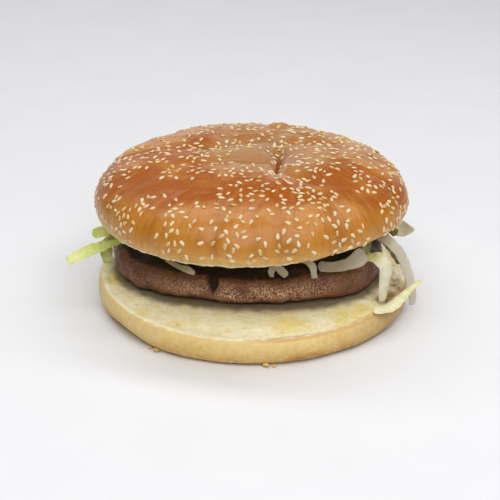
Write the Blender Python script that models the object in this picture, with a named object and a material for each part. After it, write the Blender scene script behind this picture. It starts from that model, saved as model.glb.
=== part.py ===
"""A hamburger: sesame crown, salad of onion and lettuce, beef patty and heel.

Lengths are in metres, +Z is up and the front is at -Y. The origin is the middle
of the heel's flat underside, where the burger rests.
"""

import bisect
import math
import random

import bmesh
import bpy
from mathutils import Matrix, Vector, noise
from mathutils.bvhtree import BVHTree

MM = 0.001
GAP = 0.65 * MM

# Heel: the lower half of the bun. Rims are heights round the edge in millimetres, every 45
# degrees from +X. The tuck is a wrinkle where the bottom crust curls up: its direction,
# height and width. The side is shares of the radius and of the rim's height.
HEEL_CENTRE = Vector((1.2, 0.0, 0.0)) * MM
HEEL_RADIUS = 64.0 * MM
HEEL_SEAT = 14.2 * MM
HEEL_RIMS = [11.0, 10.4, 10.2, 11.2, 12.8, 11.4, 10.5, 10.7]
HEEL_TUCK = (math.radians(-144), 1.7 * MM, math.radians(9))
HEEL_SEGMENTS = 54
HEEL_UNDER = [(0.0, 0.0), (0.35, 0.0), (0.7, 0.0), (0.88, 0.0), (0.93, 0.0)]
HEEL_SIDE = [(0.965, 0.07), (0.99, 0.28), (1.0, 0.55), (0.994, 0.8), (0.980, 0.96)]
HEEL_CUT = [0.962, 0.93, 0.88, 0.81, 0.72, 0.6, 0.4, 0.2, 0.0]

# Patty: one thick disc of coarse minced beef. Radii at the foot and at the widest level, and
# the heights of the top's edge, are in millimetres, every 22.5 degrees from +X.
PATTY_CENTRE = Vector((-0.8, 6.0, 0.0)) * MM
PATTY_RADII = [
    54.6, 52.6, 52.0, 51.6, 51.0, 51.6, 52.6, 53.6, 55.0, 55.2, 52.6, 48.8, 48.6, 51.2, 55.6, 57.0,
]
PATTY_FEET = [
    53.8, 51.8, 51.2, 50.8, 50.2, 50.8, 51.8, 52.8, 54.0, 54.0, 51.4, 46.8, 47.4, 50.4, 55.0, 56.4,
]
PATTY_EDGES = [
    26.2, 25.8, 25.8, 25.6, 25.4, 25.4, 25.2, 24.6, 23.6, 23.0, 24.0, 24.8, 24.2, 24.8, 26.0, 26.4,
]
FOOT_DENT = (math.radians(-58), 2.4, math.radians(8))
PATTY_TOP = 25.8 * MM
PATTY_SEGMENTS = 60
PATTY_SIDE = [
    (0.0, 0.0), (0.5, 0.0), (0.75, 0.0), (0.94, 0.0), (0.985, 0.06), (1.0, 0.24), (0.998, 0.5),
    (0.99, 0.74), (0.972, 0.92), (0.93, 1.0), (0.8, 1.0), (0.62, 1.0), (0.4, 1.0), (0.0, 1.0),
]

# Crown: the seeded dome, whose lower rim is highest at the front right. Its rims are heights
# in millimetres, every 45 degrees from +X.
CROWN_CENTRE = Vector((0.6, 0.0, 0.0)) * MM
CROWN_RADIUS = 62.9 * MM
CROWN_WIDEST = 44.0 * MM
CROWN_TOP = 61.6 * MM
CROWN_SQUARENESS = 4.4
CROWN_RIMS = [39.0, 38.6, 38.4, 38.2, 37.4, 38.2, 39.2, 41.2]
CROWN_HOLLOW = 38.5 * MM
CROWN_SEGMENTS = 54

# Seams where the dough was folded, meeting at STAR. Each has the points that it runs
# through in millimetres, its depth and its half width.
STAR = Vector((11.0, 4.0, 0.0)) * MM
SEAMS = [
    ([(11, 8), (11, -3), (9.4, -13), (8.8, -21), (7.6, -34)], 3.4, 2.8),
    ([(11, 6), (9.6, 14), (7.6, 22), (10, 30), (12, 42)], 2.2, 3.4),
    ([(7.5, 21), (-4, 18), (-16, 11.5), (-27, 10.5), (-42, 6)], 2.0, 4.2),
    ([(9, -6), (3, -5), (-8, -5), (-20, -10), (-36, -20)], 2.0, 4.4),
    ([(11, 13), (17, 18.5), (26, 19), (34, 16), (46, 12)], 2.0, 4.0),
    ([(10, -14), (15, -20), (24, -26), (34, -26), (46, -25)], 1.8, 4.4),
]
LIP = (Vector((12.0, 41.0, 0.0)) * MM, 2.4 * MM, 3.0 * MM)

# Sesame seeds, as half sunk drops. The bare patches are x, y and radius in millimetres.
SEED_COUNT = 128
SEED_SIZE = Vector((1.65, 1.0, 0.62)) * MM
SEED_SPACING = 6.0 * MM
SEED_LIFT = 0.11 * MM
BARE_PATCHES = [
    (-42, -18, 6), (-21, -35, 7), (33, -27, 6), (42, -38, 7), (-11, -30, 4), (1, 3, 5), (-38, -47, 5),
]

# Salad: a bed between patty and crown, and the pieces that hang out of it.
BED_CENTRE = Vector((-1.0, 6.0, 0.0)) * MM
BED_RADII = [41.0, 44.0, 45.0, 44.0, 43.0, 38.0, 35.0, 36.0]
BED_LOW = PATTY_TOP + 0.9 * MM
BED_HIGH = 37.6 * MM
BED_SEGMENTS = 28
BED_SIDE = [
    (0.0, 0.0), (0.5, 0.0), (0.85, 0.0), (0.97, 0.18), (1.0, 0.5), (0.96, 0.85), (0.8, 1.0), (0.4, 1.0),
    (0.0, 1.0),
]
BED_SHRED_ROOT = 26
BED_SHRED_BEND = 36

# Ends of shreds in the heap: direction in degrees, height at the core, height further out,
# reach from the middle and width, all but the first in millimetres.
BED_SHREDS = [
    (8, 29.0, 31.0, 50, 4.5), (22, 33.0, 35.0, 47, 3.6), (38, 28.5, 29.5, 51, 5.0),
    (52, 34.0, 33.0, 48, 4.0), (68, 29.0, 32.0, 50, 3.6), (84, 33.5, 35.0, 46, 4.6),
    (100, 28.5, 29.0, 51, 4.2), (116, 33.0, 31.0, 48, 3.8), (132, 29.5, 33.0, 50, 4.6),
    (148, 34.0, 35.0, 46, 4.0), (164, 28.5, 30.0, 50, 4.4), (180, 33.0, 34.0, 46, 3.8),
    (214, 30.5, 32.0, 45, 4.2), (228, 28.6, 29.6, 44, 4.4), (240, 33.5, 34.5, 43, 4.4),
    (252, 29.0, 31.5, 42, 3.6), (263, 34.0, 34.5, 41, 4.6), (284, 33.6, 34.6, 40, 4.2),
]

ONION_COLOUR = (0.80, 0.80, 0.66)
LETTUCE_COLOUR = (0.50, 0.66, 0.16)

# The separate pieces that hang out. Each has its centre line, its widths along it, its
# thickness, all in millimetres, and the directions that its broad side faces along it.
PIECE_STEPS = 7
PIECES = [
    ("lettuce_left_long", "lettuce",
     [(-47, -8, 28.2), (-54, -12.6, 28.1), (-60, -17, 28.2), (-65.4, -20.6, 27.2), (-71.6, -23.4, 25.2)],
     [2.4, 2.8, 4.4, 4.8, 4.2], 1.1, [(-0.2, -0.5, 1), (-0.1, -0.9, 0.8), (-0.2, -1.0, 0.7)]),
    ("lettuce_left_curl", "lettuce",
     [(-48, 1, 33.0), (-54, -5, 32.4), (-58.6, -11, 32.4), (-62.4, -15, 33.2)],
     [3.4, 4.4, 4.6, 3.6], 1.0, [(-0.2, -0.5, 1), (0.3, -1.0, 0.6)]),
    ("lettuce_left_low", "lettuce",
     [(-47, 0, 28.7), (-53.4, -5.4, 28.9), (-57.0, -10.2, 27.0), (-57.3, -12.8, 23.8), (-56.8, -13.6, 19.6)],
     [3.4, 4.4, 5.0, 5.4, 4.6], 1.0, [(-0.4, -0.4, 1), (-0.4, -0.9, 0.6), (-0.3, -1, 0.1)]),
    ("onion_front_left", "onion",
     [(-32, -34.5, 30.6), (-27, -39.6, 30.2), (-23.4, -41.8, 29.8), (-20.8, -42.6, 28.7)],
     [1.8, 2.0, 2.6, 1.4], 0.9, [(0.0, -0.7, 1), (0, -1, 0.6)]),
    ("onion_front_curl", "onion",
     [(8.4, -41.8, 27.0), (8.2, -42.0, 29.6), (9.8, -41.6, 31.0), (12.2, -42.0, 29.2), (13.8, -42.2, 27.4)],
     [2.0, 2.6, 2.6, 3.0, 2.4], 1.2, [(-0.6, -1, 0.2), (-0.2, -1, 0.6), (0.3, -1, 0.5)]),
    ("onion_front_hook", "onion",
     [(18.6, -38, 32.0), (21.6, -42.4, 33.4), (23.5, -43.8, 32.0), (23.9, -43.8, 29.4), (24.3, -43.8, 27.4)],
     [2.2, 2.4, 2.6, 2.2, 2.4], 1.2, [(0, -0.6, 1), (0, -1, 0.5), (0, -1, 0.1)]),
    ("onion_front_strip", "onion",
     [(25.8, -38.5, 29.9), (31.9, -38.2, 29.5), (37.2, -35.4, 29.3), (41.2, -32.4, 30.0),
      (44.2, -30.0, 31.4)],
     [3.8, 4.0, 4.6, 6.2, 7.0], 2.4, [(0.1, -1, 0.55), (0.3, -1, 0.5), (0.5, -1, 0.6)]),
    ("lettuce_olive_right", "lettuce",
     [(43.6, -17.5, 35.6), (45.0, -22.2, 33.8), (44.4, -25.4, 31.8), (43.2, -26.8, 29.8)],
     [4.0, 4.6, 4.4, 3.4], 1.0, [(0.1, -0.8, 0.7), (0.1, -1, 0.4)]),
    ("lettuce_drape", "lettuce",
     [(42.5, -21.0, 27.9), (46.4, -26.8, 28.5), (49.4, -30.0, 29.3), (51.7, -31.9, 27.8),
      (52.1, -32.6, 23.6), (51.6, -33.1, 19.0), (51.0, -33.3, 12.4)],
     [2.4, 4.0, 4.8, 5.0, 4.4, 3.4, 2.0], 1.0,
     [(-0.1, -0.4, 1), (0.1, -0.9, 0.6), (0.4, -1, 0.1), (0.4, -1, 0.1)]),
    ("lettuce_brown_right", "lettuce",
     [(47.0, -5.0, 28.8), (53.4, -8.6, 28.8), (57.6, -11.8, 24.8), (60.2, -13.8, 19.6)],
     [4.4, 5.4, 5.4, 3.0], 1.0, [(0.3, -0.5, 1), (0.5, -1, 0.5)]),
    ("onion_ring_right", "onion",
     [(47.4, -9.0, 31.8), (52.2, -17.4, 32.6), (56.6, -21.4, 30.3), (59.8, -21.6, 25.6),
      (62.2, -21.0, 19.6), (64.2, -20.4, 13.0), (65.1, -20.2, 4.4)],
     [3.4, 4.2, 4.4, 4.4, 4.2, 3.8, 3.4], 1.7,
     [(-0.3, -0.4, 1), (0.2, -1, 0.9), (0.5, -1, 0.5), (0.6, -1, 0.1)]),
    ("lettuce_dark_right", "lettuce",
     [(48.6, 1.2, 31.6), (54.6, -5.2, 32.0), (58.8, -9.4, 30.4)],
     [2.6, 3.6, 3.8], 1.0, [(0.2, -0.6, 1), (0.3, -1, 0.4)]),
    ("onion_back_right", "onion",
     [(50.0, 6.4, 29.4), (56.5, 3.6, 29.4), (61.6, 0.0, 29.0), (66.2, -4.6, 30.6)],
     [5.0, 7.0, 7.2, 1.8], 1.3, [(0.3, -0.5, 1), (0.4, -1.0, 0.3)]),
    ("lettuce_rim_right", "lettuce",
     [(47.3, -41.2, 12.3), (51.0, -40.6, 12.3), (54.4, -38.4, 12.6), (57.8, -34.8, 13.5),
      (61.0, -31.2, 15.2), (63.8, -28.8, 16.8), (67.0, -27.0, 18.0)],
     [2.6, 3.2, 3.8, 3.8, 2.8, 2.0, 2.0], 1.0, [(0.0, -0.8, 1), (0.3, -0.9, 0.9)]),
]


def clear_scene():
    for obj in list(bpy.data.objects):
        bpy.data.objects.remove(obj, do_unlink=True)


def material(name, colour, roughness):
    made = bpy.data.materials.new(name)
    made.use_nodes = True
    shader = made.node_tree.nodes["Principled BSDF"]
    shader.inputs["Base Color"].default_value = (*colour, 1.0)
    shader.inputs["Roughness"].default_value = roughness
    shader.inputs["Metallic"].default_value = 0.0
    return made


def add_object(name, mesh_data, finish):
    """Links a bmesh as an object with one finish, and frees the bmesh."""
    mesh = bpy.data.meshes.new(name)
    mesh_data.to_mesh(mesh)
    mesh_data.free()
    mesh.materials.append(finish)
    obj = bpy.data.objects.new(name, mesh)
    bpy.context.scene.collection.objects.link(obj)
    return obj


def around(knots, angle):
    """A smooth closed curve through values spaced evenly round the axis, read at an angle."""
    place = angle / math.tau * len(knots)
    index = math.floor(place)
    t = place - index
    a, b, c, d = (knots[(index + step) % len(knots)] for step in (-1, 0, 1, 2))
    return b + 0.5 * t * (c - a + t * (2 * a - 5 * b + 4 * c - d + t * (3 * (b - c) + d - a)))


def along(points, t):
    """A smooth open curve through points, read at t from 0 to 1."""
    last = len(points) - 1
    place = min(max(t, 0.0), 1.0) * last
    index = min(int(place), last - 1)
    t = place - index
    a, b, c, d = (points[min(max(index + step, 0), last)] for step in (-1, 0, 1, 2))
    return b + (c - a + (2 * a - 5 * b + 4 * c - d + (3 * (b - c) + d - a) * t) * t) * (0.5 * t)


def smooth(t):
    t = min(max(t, 0.0), 1.0)
    return t * t * (3 - 2 * t)


def ripple(point, size, seed):
    """Soft noise from -1 to 1 whose lumps are about size across."""
    return noise.noise(Vector(point) / size + Vector((seed * 7.3, seed * 3.1, seed * 5.7)))


def spun(profile, segments):
    """A closed bmesh turned about Z from a profile of (radius, height) that starts and ends on the axis."""
    turned = bmesh.new()
    points = [turned.verts.new((radius, 0.0, height)) for radius, height in profile]
    edges = [turned.edges.new(pair) for pair in zip(points, points[1:])]
    bmesh.ops.spin(
        turned, geom=points + edges, axis=(0, 0, 1), cent=(0, 0, 0),
        angle=math.tau, steps=segments, use_merge=True, use_duplicate=False,
    )
    bmesh.ops.remove_doubles(turned, verts=turned.verts, dist=0.001 * MM)
    bmesh.ops.recalc_face_normals(turned, faces=turned.faces)
    return turned


# The heel


def heel_radius(angle):
    wobble = ripple((math.cos(angle), math.sin(angle), 0.0), 0.7, 1)
    return HEEL_RADIUS * (1 + 0.008 * wobble)


def heel_top(x, y):
    """Height of the cut face: level where the patty sits, and falling to the rim."""
    angle = math.atan2(y - HEEL_CENTRE.y, x - HEEL_CENTRE.x)
    share = math.hypot(x - HEEL_CENTRE.x, y - HEEL_CENTRE.y) / heel_radius(angle)
    rim = around(HEEL_RIMS, angle) * MM
    return HEEL_SEAT + (rim - HEEL_SEAT) * smooth((share - 0.60) / 0.40)


def tuck(angle):
    """How far the bottom crust curls up at an angle."""
    middle, height, width = HEEL_TUCK
    return height * math.exp(-(((angle - middle) / width) ** 2))


def make_heel(finish):
    """The heel, whose cut face is marked in the profile by a level of 2."""
    heel = spun(HEEL_UNDER + HEEL_SIDE + [(share, 2.0) for share in HEEL_CUT], HEEL_SEGMENTS)
    for vert in heel.verts:
        angle = math.atan2(vert.co.y, vert.co.x)
        share, level = vert.co.xy.length, vert.co.z
        spoke = Vector((math.cos(angle), math.sin(angle), 0.0))
        flat = spoke * share * heel_radius(angle)
        if level > 1:
            vert.co = flat + HEEL_CENTRE
            torn = smooth((share - 0.6) / 0.2) * ripple(flat, 6 * MM, 2)
            vert.co.z = heel_top(vert.co.x, vert.co.y) - 0.4 * MM * abs(torn)
        else:
            if level > 0.05:
                flat *= 1 + 0.006 * ripple((flat.x, flat.y, level * 10 * MM), 13 * MM, 3)
            curl = tuck(angle) * smooth((share - 0.87) / 0.06) * (1 - smooth(level / 0.45))
            vert.co = flat - spoke * 1.1 * curl + HEEL_CENTRE
            vert.co.z = level * around(HEEL_RIMS, angle) * MM + curl
    return add_object("bun_heel", heel, finish)


# The patty


def patty_reach(angle, level):
    """Radius of the side at a level from 0 to 1: the foot is drawn in, and has one dent."""
    middle, depth, width = FOOT_DENT
    foot = around(PATTY_FEET, angle) - depth * math.exp(-(((angle - middle) / width) ** 2))
    widest = around(PATTY_RADII, angle)
    return MM * (foot + (widest - foot) * smooth(level / 0.45))


def make_patty(finish):
    """A rounded disc, pushed in and out by lumps of mince, that follows the heel below."""
    patty = spun(PATTY_SIDE, PATTY_SEGMENTS)
    for vert in patty.verts:
        angle = math.atan2(vert.co.y, vert.co.x)
        share, level = vert.co.xy.length, vert.co.z
        place = Vector((math.cos(angle), math.sin(angle), 0.0)) * share * patty_reach(angle, level)
        lump = ripple((place.x, place.y, level * 9 * MM), 8 * MM, 5)
        grain = ripple((place.x, place.y, level * 9 * MM), 3.5 * MM, 6)
        edge = smooth((share - 0.86) / 0.1)
        place *= 1 + edge * (0.014 * lump + 0.012 * grain)
        place += PATTY_CENTRE
        seat = heel_top(place.x, place.y) + GAP
        rim = around(PATTY_EDGES, angle) * MM
        top = PATTY_TOP + (rim - PATTY_TOP) * smooth((share - 0.7) / 0.2) + MM * min(0.4, 0.6 * lump)
        underside = max(0.0, grain) * 0.6 * MM * edge * (1 - smooth(level / 0.3))
        vert.co = place
        vert.co.z = seat + level * (top - seat) + underside
    return add_object("patty", patty, finish)


# The crown


def seam_points(points):
    """The seam as short straight steps, each with its share of the way along."""
    path = [Vector((x, y, 0.0)) * MM for x, y in points]
    return [(along(path, step / 24), step / 24) for step in range(25)]


SEAM_PATHS = [(seam_points(points), depth * MM, width * MM) for points, depth, width in SEAMS]


def seam_relief(x, y):
    """How far the crust dips into its seams at a point: a crease inside a broad soft valley."""
    here = Vector((x, y, 0.0))
    dip = 0.0
    for path, depth, width in SEAM_PATHS:
        distance, share = min(((here - point).length / width, t) for point, t in path)
        fade = depth * (1 - smooth((share - 0.45) / 0.55))
        dip = max(dip, fade * (0.6 * math.exp(-(distance**2)) + 0.4 * math.exp(-((0.35 * distance) ** 2))))
    middle, height, width = LIP
    return dip - height * math.exp(-(((here - middle).length / width) ** 2))


def crown_radius(angle):
    wobble = ripple((math.cos(angle), math.sin(angle), 0.0), 0.8, 11)
    return CROWN_RADIUS * (1 + 0.007 * wobble)


def crown_top(x, y):
    """Height of the dome over a point of the plan, measured from the crown's own middle."""
    angle = math.atan2(y, x)
    share = min(1.0, math.hypot(x, y) / crown_radius(angle))
    dome = math.sqrt(1 - share**CROWN_SQUARENESS)
    broad = 0.45 * MM * ripple((x, y, 0.0), 26 * MM, 12)
    relief = (broad - seam_relief(x, y)) * min(1.0, 1.6 * dome)
    return CROWN_WIDEST + (CROWN_TOP - CROWN_WIDEST) * dome + relief


def make_crown_crust(finish):
    """The dome and its cut underside, before the seeds go on. Its mesh converges on the star."""
    domed = [math.sin(0.5 * math.pi * step / 14) for step in range(15)]
    under = [0.0, 0.45, 0.75, 0.9, 0.955]
    profile = [(share, 0.0) for share in under] + [(0.982, 1.0), (0.997, 2.0)]
    profile += [(share, 3.0) for share in reversed(domed)]
    crown = spun(profile, CROWN_SEGMENTS)
    for vert in crown.verts:
        angle = math.atan2(vert.co.y, vert.co.x)
        share, part = vert.co.xy.length, round(vert.co.z)
        rim = around(CROWN_RIMS, angle) * MM
        flat = Vector((math.cos(angle), math.sin(angle), 0.0)) * share * crown_radius(angle)
        if part == 3:
            flat += STAR * (1 - share)
            flat.z = crown_top(flat.x, flat.y)
        elif part == 0:
            ragged = 0.35 * MM * ripple(flat, 7 * MM, 13)
            flat.z = CROWN_HOLLOW + (rim - CROWN_HOLLOW) * smooth((share - 0.7) / 0.25) + max(0.0, ragged)
        else:
            flat.z = rim + (CROWN_WIDEST - rim) * (0.22 if part == 1 else 0.62)
        vert.co = flat + CROWN_CENTRE
    bmesh.ops.recalc_face_normals(crown, faces=crown.faces)
    return add_object("bun_crown", crown, finish)


def dome_stations():
    """Steps down the dome: share of the radius, drop below the widest level, and area so far."""
    stations = []
    area = 0.0
    before = Vector((0.0, CROWN_TOP))
    for step in range(121):
        slant = 0.5 * math.pi * min(1.0, step / 100)
        share = math.sin(slant) ** (2 / CROWN_SQUARENESS)
        drop = max(0, step - 100) / 20 * 2.6 * MM
        height = CROWN_WIDEST + (CROWN_TOP - CROWN_WIDEST) * math.cos(slant) - drop
        here = Vector((share * CROWN_RADIUS, height))
        area += (here - before).length * 0.5 * (here.x + before.x)
        stations.append((share, drop, area))
        before = here
    return stations


def seed_places(draw, count, spacing):
    """Spots and turns for seeds spread evenly over the dome by area, off the bare patches."""
    stations = dome_stations()
    areas = [area for _, _, area in stations]
    kept = []
    for _ in range(60 * count):
        if len(kept) == count:
            break
        angle = draw.uniform(0, math.tau)
        share, drop, _ = stations[bisect.bisect_left(areas, draw.uniform(0, areas[-1]))]
        turn = draw.uniform(0, math.tau)
        reach = share * crown_radius(angle)
        spot = Vector((reach * math.cos(angle), reach * math.sin(angle), 0.0))
        spot.z = crown_top(spot.x, spot.y) - drop
        if any((spot.xy / MM - Vector((x, y))).length < radius for x, y, radius in BARE_PATCHES):
            continue
        if all((spot - other).length > spacing for other, _ in kept):
            kept.append((spot, turn))
    return kept


def make_seed(name, spot, normal, turn, finish):
    """One sesame seed: a flat drop with a narrow end, lying half sunk in the crust."""
    seed = bmesh.new()
    bmesh.ops.create_icosphere(seed, subdivisions=1, radius=1.0)
    for vert in seed.verts:
        lengthwise, across, up = vert.co.z, vert.co.x, vert.co.y
        across *= 1 - 0.35 * lengthwise
        vert.co = Vector((lengthwise * SEED_SIZE.x, across * SEED_SIZE.y, up * SEED_SIZE.z))
    bmesh.ops.recalc_face_normals(seed, faces=seed.faces)
    obj = add_object(name, seed, finish)
    standing = normal.to_track_quat("Z", "X").to_matrix() @ Matrix.Rotation(turn, 3, "Z")
    obj.matrix_world = Matrix.Translation(spot) @ standing.to_4x4()
    return obj


def fuse(obj, others):
    """Unites an object with others that overlap it, and removes them."""
    group = bpy.data.collections.new(obj.name + "_added")
    bpy.context.scene.collection.children.link(group)
    for other in others:
        bpy.context.scene.collection.objects.unlink(other)
        group.objects.link(other)
    union = obj.modifiers.new("union", "BOOLEAN")
    union.operation = "UNION"
    union.operand_type = "COLLECTION"
    union.collection = group
    union.solver = "EXACT"
    bpy.context.view_layer.update()
    graph = bpy.context.evaluated_depsgraph_get()
    mesh = bpy.data.meshes.new_from_object(obj.evaluated_get(graph))
    obj.modifiers.clear()
    old = obj.data
    obj.data = mesh
    bpy.data.meshes.remove(old)
    mesh.name = obj.name
    for other in others:
        bpy.data.objects.remove(other, do_unlink=True)
    bpy.data.collections.remove(group)
    return obj


def make_crown(finish):
    """The crust with its seeds fused on by one union."""
    crown = make_crown_crust(finish)
    shell = BVHTree.FromObject(crown, bpy.context.evaluated_depsgraph_get())
    draw = random.Random(41)
    seeds = []
    for spot, turn in seed_places(draw, SEED_COUNT, SEED_SPACING):
        place, normal, _, _ = shell.find_nearest(spot + CROWN_CENTRE)
        place += normal * SEED_LIFT
        seeds.append(make_seed(f"seed_{len(seeds)}", place, normal, turn, finish))
    return fuse(crown, seeds)


# The salad


def swept(points, widths, thick, faces, steps, sides=8, seed=0):
    """A thin solid pushed along a smooth curve. Its broad side turns through the given directions."""
    path = [Vector(point) * MM for point in points]
    turns = [Vector(face) for face in faces]
    made = bmesh.new()
    bmesh.ops.create_circle(made, cap_ends=True, radius=1.0, segments=sides)
    ring = list(made.verts)
    shape = [vert.co.copy() for vert in ring]
    for step in range(steps + 1):
        t = step / steps
        middle = along(path, t)
        ahead = (along(path, min(1.0, t + 0.01)) - along(path, max(0.0, t - 0.01))).normalized()
        broad = along(turns, t)
        up = (broad - broad.dot(ahead) * ahead).normalized()
        side = ahead.cross(up)
        taper = 0.55 if step in (0, steps) else 1.0
        half = 0.5 * MM * along(widths, t) * taper
        lift = 0.5 * MM * thick * taper
        for vert, corner in zip(ring, shape):
            flat = abs(corner.y) ** 0.8 * math.copysign(1, corner.y)
            wave = 0.35 * MM * math.sin(7 * t + 2.2 * corner.x + seed) * abs(corner.x)
            vert.co = middle + side * (corner.x * half) + up * (flat * lift + wave * min(1.0, half / MM))
        if step == steps:
            break
        face = [face for face in ring[0].link_faces if all(vert in face.verts for vert in ring)][0]
        pushed = bmesh.ops.extrude_face_region(made, geom=[face])
        if step:
            bmesh.ops.delete(made, geom=[face], context="FACES_ONLY")
        fresh = [item for item in pushed["geom"] if isinstance(item, bmesh.types.BMVert)]
        ring = [min(fresh, key=lambda item: (item.co - vert.co).length) for vert in ring]
    bmesh.ops.recalc_face_normals(made, faces=made.faces)
    return made


def bed_shred(angle, low, high, reach, width, draw):
    """One shred that bends up out of the heap and points away from the middle."""
    start = math.radians(angle + draw.uniform(-8, 8))
    end = math.radians(angle)
    bends = [(BED_SHRED_ROOT, start, low), (BED_SHRED_BEND, 0.5 * (start + end), high)]
    bends.append((reach, end, 0.5 * (low + high)))
    middle = BED_CENTRE / MM
    points = []
    for far, turn, height in bends:
        points.append((middle.x + far * math.cos(turn), middle.y + far * math.sin(turn), height))
    tilt = draw.uniform(-0.5, 0.5)
    return swept(points, [width, width, 0.8 * width], 1.4, [(tilt, 0.3, 1.0)], 6, 6, angle)


def make_bed(finish):
    """The heap of salad: a low core with the ends of shreds fused on, fanned out all round."""
    core = spun(BED_SIDE, BED_SEGMENTS)
    for vert in core.verts:
        angle = math.atan2(vert.co.y, vert.co.x)
        share, level = vert.co.xy.length, vert.co.z
        reach = around(BED_RADII, angle) * MM * (1 + 0.05 * ripple(vert.co, 0.3, 21))
        vert.co = Vector((math.cos(angle), math.sin(angle), 0.0)) * share * reach + BED_CENTRE
        sag = 1.2 * MM * abs(ripple(vert.co, 9 * MM, 22)) + 0.3 * MM
        vert.co.z = BED_LOW + level * (BED_HIGH - BED_LOW) + (sag if level < 0.5 else -sag)
    bed = add_object("salad_bed", core, finish)
    draw = random.Random(7)
    shreds = []
    for angle, low, high, reach, width in BED_SHREDS:
        shred = bed_shred(angle, low, high, reach, width, draw)
        shreds.append(add_object(f"shred_{len(shreds)}", shred, finish))
    return fuse(bed, shreds)


def main():
    clear_scene()
    make_heel(material("bun_crumb", (0.80, 0.66, 0.40), 0.8))
    make_patty(material("grilled_beef", (0.15, 0.065, 0.04), 0.5))
    make_bed(material("mixed_salad", (0.60, 0.62, 0.34), 0.5))
    for name, kind, points, widths, thick, faces in PIECES:
        colour = ONION_COLOUR if kind == "onion" else LETTUCE_COLOUR
        piece = swept(points, widths, thick, faces, PIECE_STEPS, 8, len(name))
        add_object(name, piece, material(name + "_finish", colour, 0.4))
    make_crown(material("golden_crust", (0.55, 0.22, 0.06), 0.36))


main()
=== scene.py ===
# %% [markdown]
# # A sesame hamburger
#
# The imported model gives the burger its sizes: two bun halves, a patty, a bed of salad and the
# shreds that hang out. This lesson dresses each of them for a close camera. The CAD solids
# are right in size but have large facets, so most pieces here are made again from the same
# named sizes, many times finer, and each takes the place of its solid.

import bisect
import math
import random

import bmesh
import bpy
from mathutils import Matrix, Vector, noise
from mathutils.bvhtree import BVHTree
from mathutils.kdtree import KDTree


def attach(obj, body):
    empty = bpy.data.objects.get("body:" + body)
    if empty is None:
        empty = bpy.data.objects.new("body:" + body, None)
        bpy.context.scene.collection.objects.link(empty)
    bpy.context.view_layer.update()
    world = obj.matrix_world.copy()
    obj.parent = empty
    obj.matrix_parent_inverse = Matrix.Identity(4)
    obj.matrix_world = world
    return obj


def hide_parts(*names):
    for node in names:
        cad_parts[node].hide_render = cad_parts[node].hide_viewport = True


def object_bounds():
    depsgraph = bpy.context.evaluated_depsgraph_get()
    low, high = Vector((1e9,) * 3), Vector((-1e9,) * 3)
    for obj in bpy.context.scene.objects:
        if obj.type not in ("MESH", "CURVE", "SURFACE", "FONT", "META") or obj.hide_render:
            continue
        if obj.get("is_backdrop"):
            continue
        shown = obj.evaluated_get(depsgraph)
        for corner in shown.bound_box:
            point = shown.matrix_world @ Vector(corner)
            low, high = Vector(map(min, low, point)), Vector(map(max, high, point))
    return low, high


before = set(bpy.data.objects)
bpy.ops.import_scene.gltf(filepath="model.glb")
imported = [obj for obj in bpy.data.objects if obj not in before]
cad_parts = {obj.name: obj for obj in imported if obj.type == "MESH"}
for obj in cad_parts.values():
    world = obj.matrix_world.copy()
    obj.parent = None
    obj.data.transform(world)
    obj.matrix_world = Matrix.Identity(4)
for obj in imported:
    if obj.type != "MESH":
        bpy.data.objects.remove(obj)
cad_box = [list(corner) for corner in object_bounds()]
print("solids:", ", ".join(sorted(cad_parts)))
print("box in mm:", [[round(value * 1000, 1) for value in corner] for corner in cad_box])

# %% [markdown]
# ## Small tools
#
# Food is uneven in a smooth way, so the tools here are curves through a few values, read
# round a circle or along a line, soft steps and bells that fade a form in and out, and soft
# noise that gives the same lumps on every run.

# %% Curves and noise
MM = 0.001


def around(knots, angle):
    """A smooth closed curve through values spaced evenly round the axis, read at an angle."""
    place = angle / math.tau * len(knots)
    index = math.floor(place)
    t = place - index
    a, b, c, d = (knots[(index + step) % len(knots)] for step in (-1, 0, 1, 2))
    return b + 0.5 * t * (c - a + t * (2 * a - 5 * b + 4 * c - d + t * (3 * (b - c) + d - a)))


def along(points, t):
    """A smooth open curve through points, read at t from 0 to 1."""
    last = len(points) - 1
    place = min(max(t, 0.0), 1.0) * last
    index = min(int(place), last - 1)
    t = place - index
    a, b, c, d = (points[min(max(index + step, 0), last)] for step in (-1, 0, 1, 2))
    return b + (c - a + (2 * a - 5 * b + 4 * c - d + (3 * (b - c) + d - a) * t) * t) * (0.5 * t)


def smooth(t):
    """A soft step: 0 up to zero, 1 from one on."""
    t = min(max(t, 0.0), 1.0)
    return t * t * (3 - 2 * t)


def ripple(point, size, seed):
    """Soft noise from -1 to 1 whose lumps are about size across."""
    return noise.noise(Vector(point) / size + Vector((seed * 7.3, seed * 3.1, seed * 5.7)))


def bell(t):
    """A soft bump: 1 at zero, and nearly nothing past 2 on either side."""
    return math.exp(-(t**2))


def ray(angle):
    """The level direction at an angle round the axis."""
    return Vector((math.cos(angle), math.sin(angle), 0.0))


print("a curve through 1, 2, 4 read at its middle:", along([1.0, 2.0, 4.0], 0.5))

# %% [markdown]
# Every round piece starts as a profile turned about the upright axis. Spin closes the last
# step onto the first, and merging the doubles closes the poles. The profile's height is used
# as a label at first: each point is then moved to its true place by a formula. It runs from
# 0 to 1 up a side, and is another whole number on a face that has a formula of its own.

# %% Turned blanks and finished pieces


def spun(profile, segments):
    """A closed shape turned about Z from (radius, height) points that start and end on the axis."""
    turned = bmesh.new()
    points = [turned.verts.new((radius, 0.0, height)) for radius, height in profile]
    edges = [turned.edges.new(pair) for pair in zip(points, points[1:])]
    bmesh.ops.spin(
        turned, geom=points + edges, axis=(0, 0, 1), cent=(0, 0, 0),
        angle=math.tau, steps=segments, use_merge=True, use_duplicate=False,
    )
    bmesh.ops.remove_doubles(turned, verts=turned.verts, dist=1e-6)
    return turned


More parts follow.
